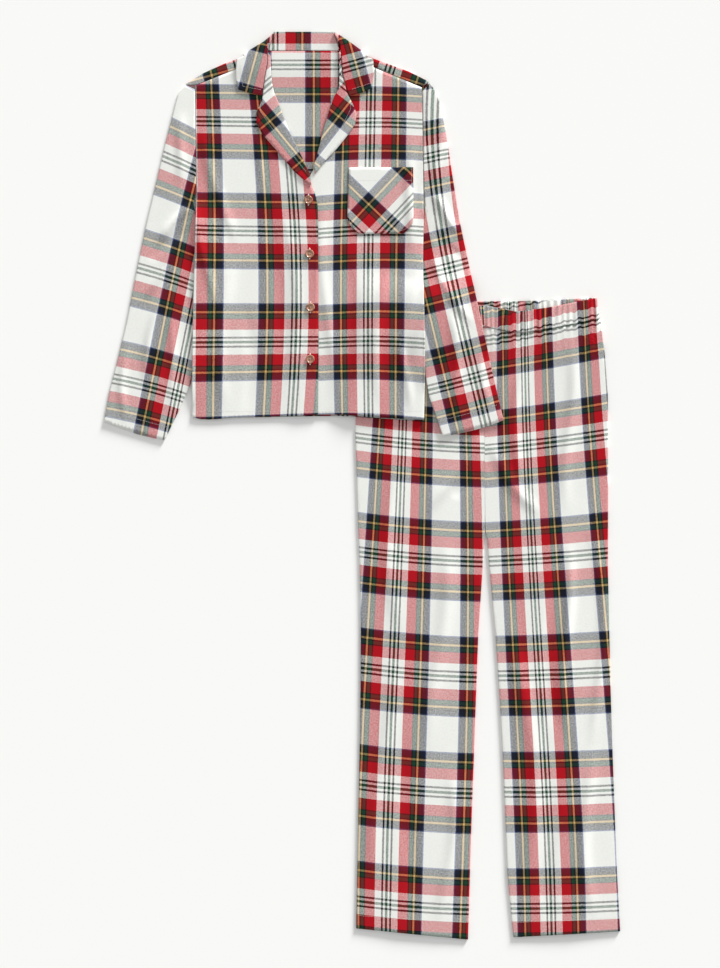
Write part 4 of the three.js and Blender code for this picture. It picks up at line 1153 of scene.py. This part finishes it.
class PYJAMA_OT_stage(bpy.types.Operator):
    """Make the pale surface, the soft lights and the camera straight above"""

    bl_idname = "pyjama.stage"
    bl_label = "Surface, lights and camera"

    def execute(self, context):
        stage = context.scene.pyjama_stage
        mesh = bpy.data.meshes.new("surface")
        reach = 6.0
        mesh.from_pydata(
            [(-reach, -reach, 0), (reach, -reach, 0), (reach, reach, 0), (-reach, reach, 0)], [], [(0, 1, 2, 3)]
        )
        surface = bpy.data.objects.new("surface", mesh)
        context.scene.collection.objects.link(surface)
        material = bpy.data.materials.new("Pale board")
        material.use_nodes = True
        shader = material.node_tree.nodes["Principled BSDF"]
        shader.inputs["Base Color"].default_value = (0.90, 0.90, 0.88, 1)
        shader.inputs["Roughness"].default_value = 0.9
        mesh.materials.append(material)

        lamp = bpy.data.lights.new("low_light", "SUN")
        lamp.angle = math.radians(stage.light_spread)
        lamp.energy = stage.light_strength
        lamp.color = (1.0, 0.995, 0.985)
        low = bpy.data.objects.new("low_light", lamp)
        low.rotation_euler = (math.radians(90 - stage.light_rise), 0, math.radians(stage.light_side))
        context.scene.collection.objects.link(low)
        world = bpy.data.worlds.new("studio")
        world.use_nodes = True
        world.node_tree.nodes["Background"].inputs["Color"].default_value = (0.985, 0.99, 1.0, 1)
        world.node_tree.nodes["Background"].inputs["Strength"].default_value = stage.sky
        context.scene.world = world
        context.scene.view_settings.view_transform = "Standard"

        camera = bpy.data.objects.new("camera", bpy.data.cameras.new("camera"))
        camera.location = (*MIDDLE_OF_VIEW, stage.camera_height)
        camera.data.sensor_width = 36
        camera.data.lens = 36 * stage.camera_height / stage.view_height
        context.scene.collection.objects.link(camera)
        context.scene.camera = camera
        return {"FINISHED"}


MIDDLE_OF_VIEW = place(360, 484)

OPERATORS = (
    PYJAMA_OT_stage,
    PYJAMA_OT_trousers,
    PYJAMA_OT_sleeves,
    PYJAMA_OT_shirt_body,
    PYJAMA_OT_collar,
    PYJAMA_OT_pocket,
    PYJAMA_OT_buttons,
    PYJAMA_OT_sewing,
)


class PYJAMA_PT_panel(bpy.types.Panel):
    """Lists what makes each piece of the set"""

    bl_idname = "PYJAMA_PT_panel"
    bl_label = "Pyjama set"
    bl_space_type = "VIEW_3D"
    bl_region_type = "UI"
    bl_category = "Pyjama set"

    def draw(self, context):
        for name, kind in SETTINGS:
            box = self.layout.box()
            for key in kind.__annotations__:
                box.prop(getattr(context.scene, name), key)
        for operator in OPERATORS:
            self.layout.operator(operator.bl_idname)


def register():
    for name, kind in SETTINGS:
        bpy.utils.register_class(kind)
        setattr(bpy.types.Scene, name, bpy.props.PointerProperty(type=kind))
    for kind in (*OPERATORS, PYJAMA_PT_panel):
        bpy.utils.register_class(kind)


def unregister():
    for kind in (PYJAMA_PT_panel, *reversed(OPERATORS)):
        bpy.utils.unregister_class(kind)
    for name, kind in reversed(SETTINGS):
        delattr(bpy.types.Scene, name)
        bpy.utils.unregister_class(kind)


def main():
    register()
    for operator in OPERATORS:
        group, action = operator.bl_idname.split(".")
        getattr(getattr(bpy.ops, group), action)()


if __name__ == "__main__":
    main()
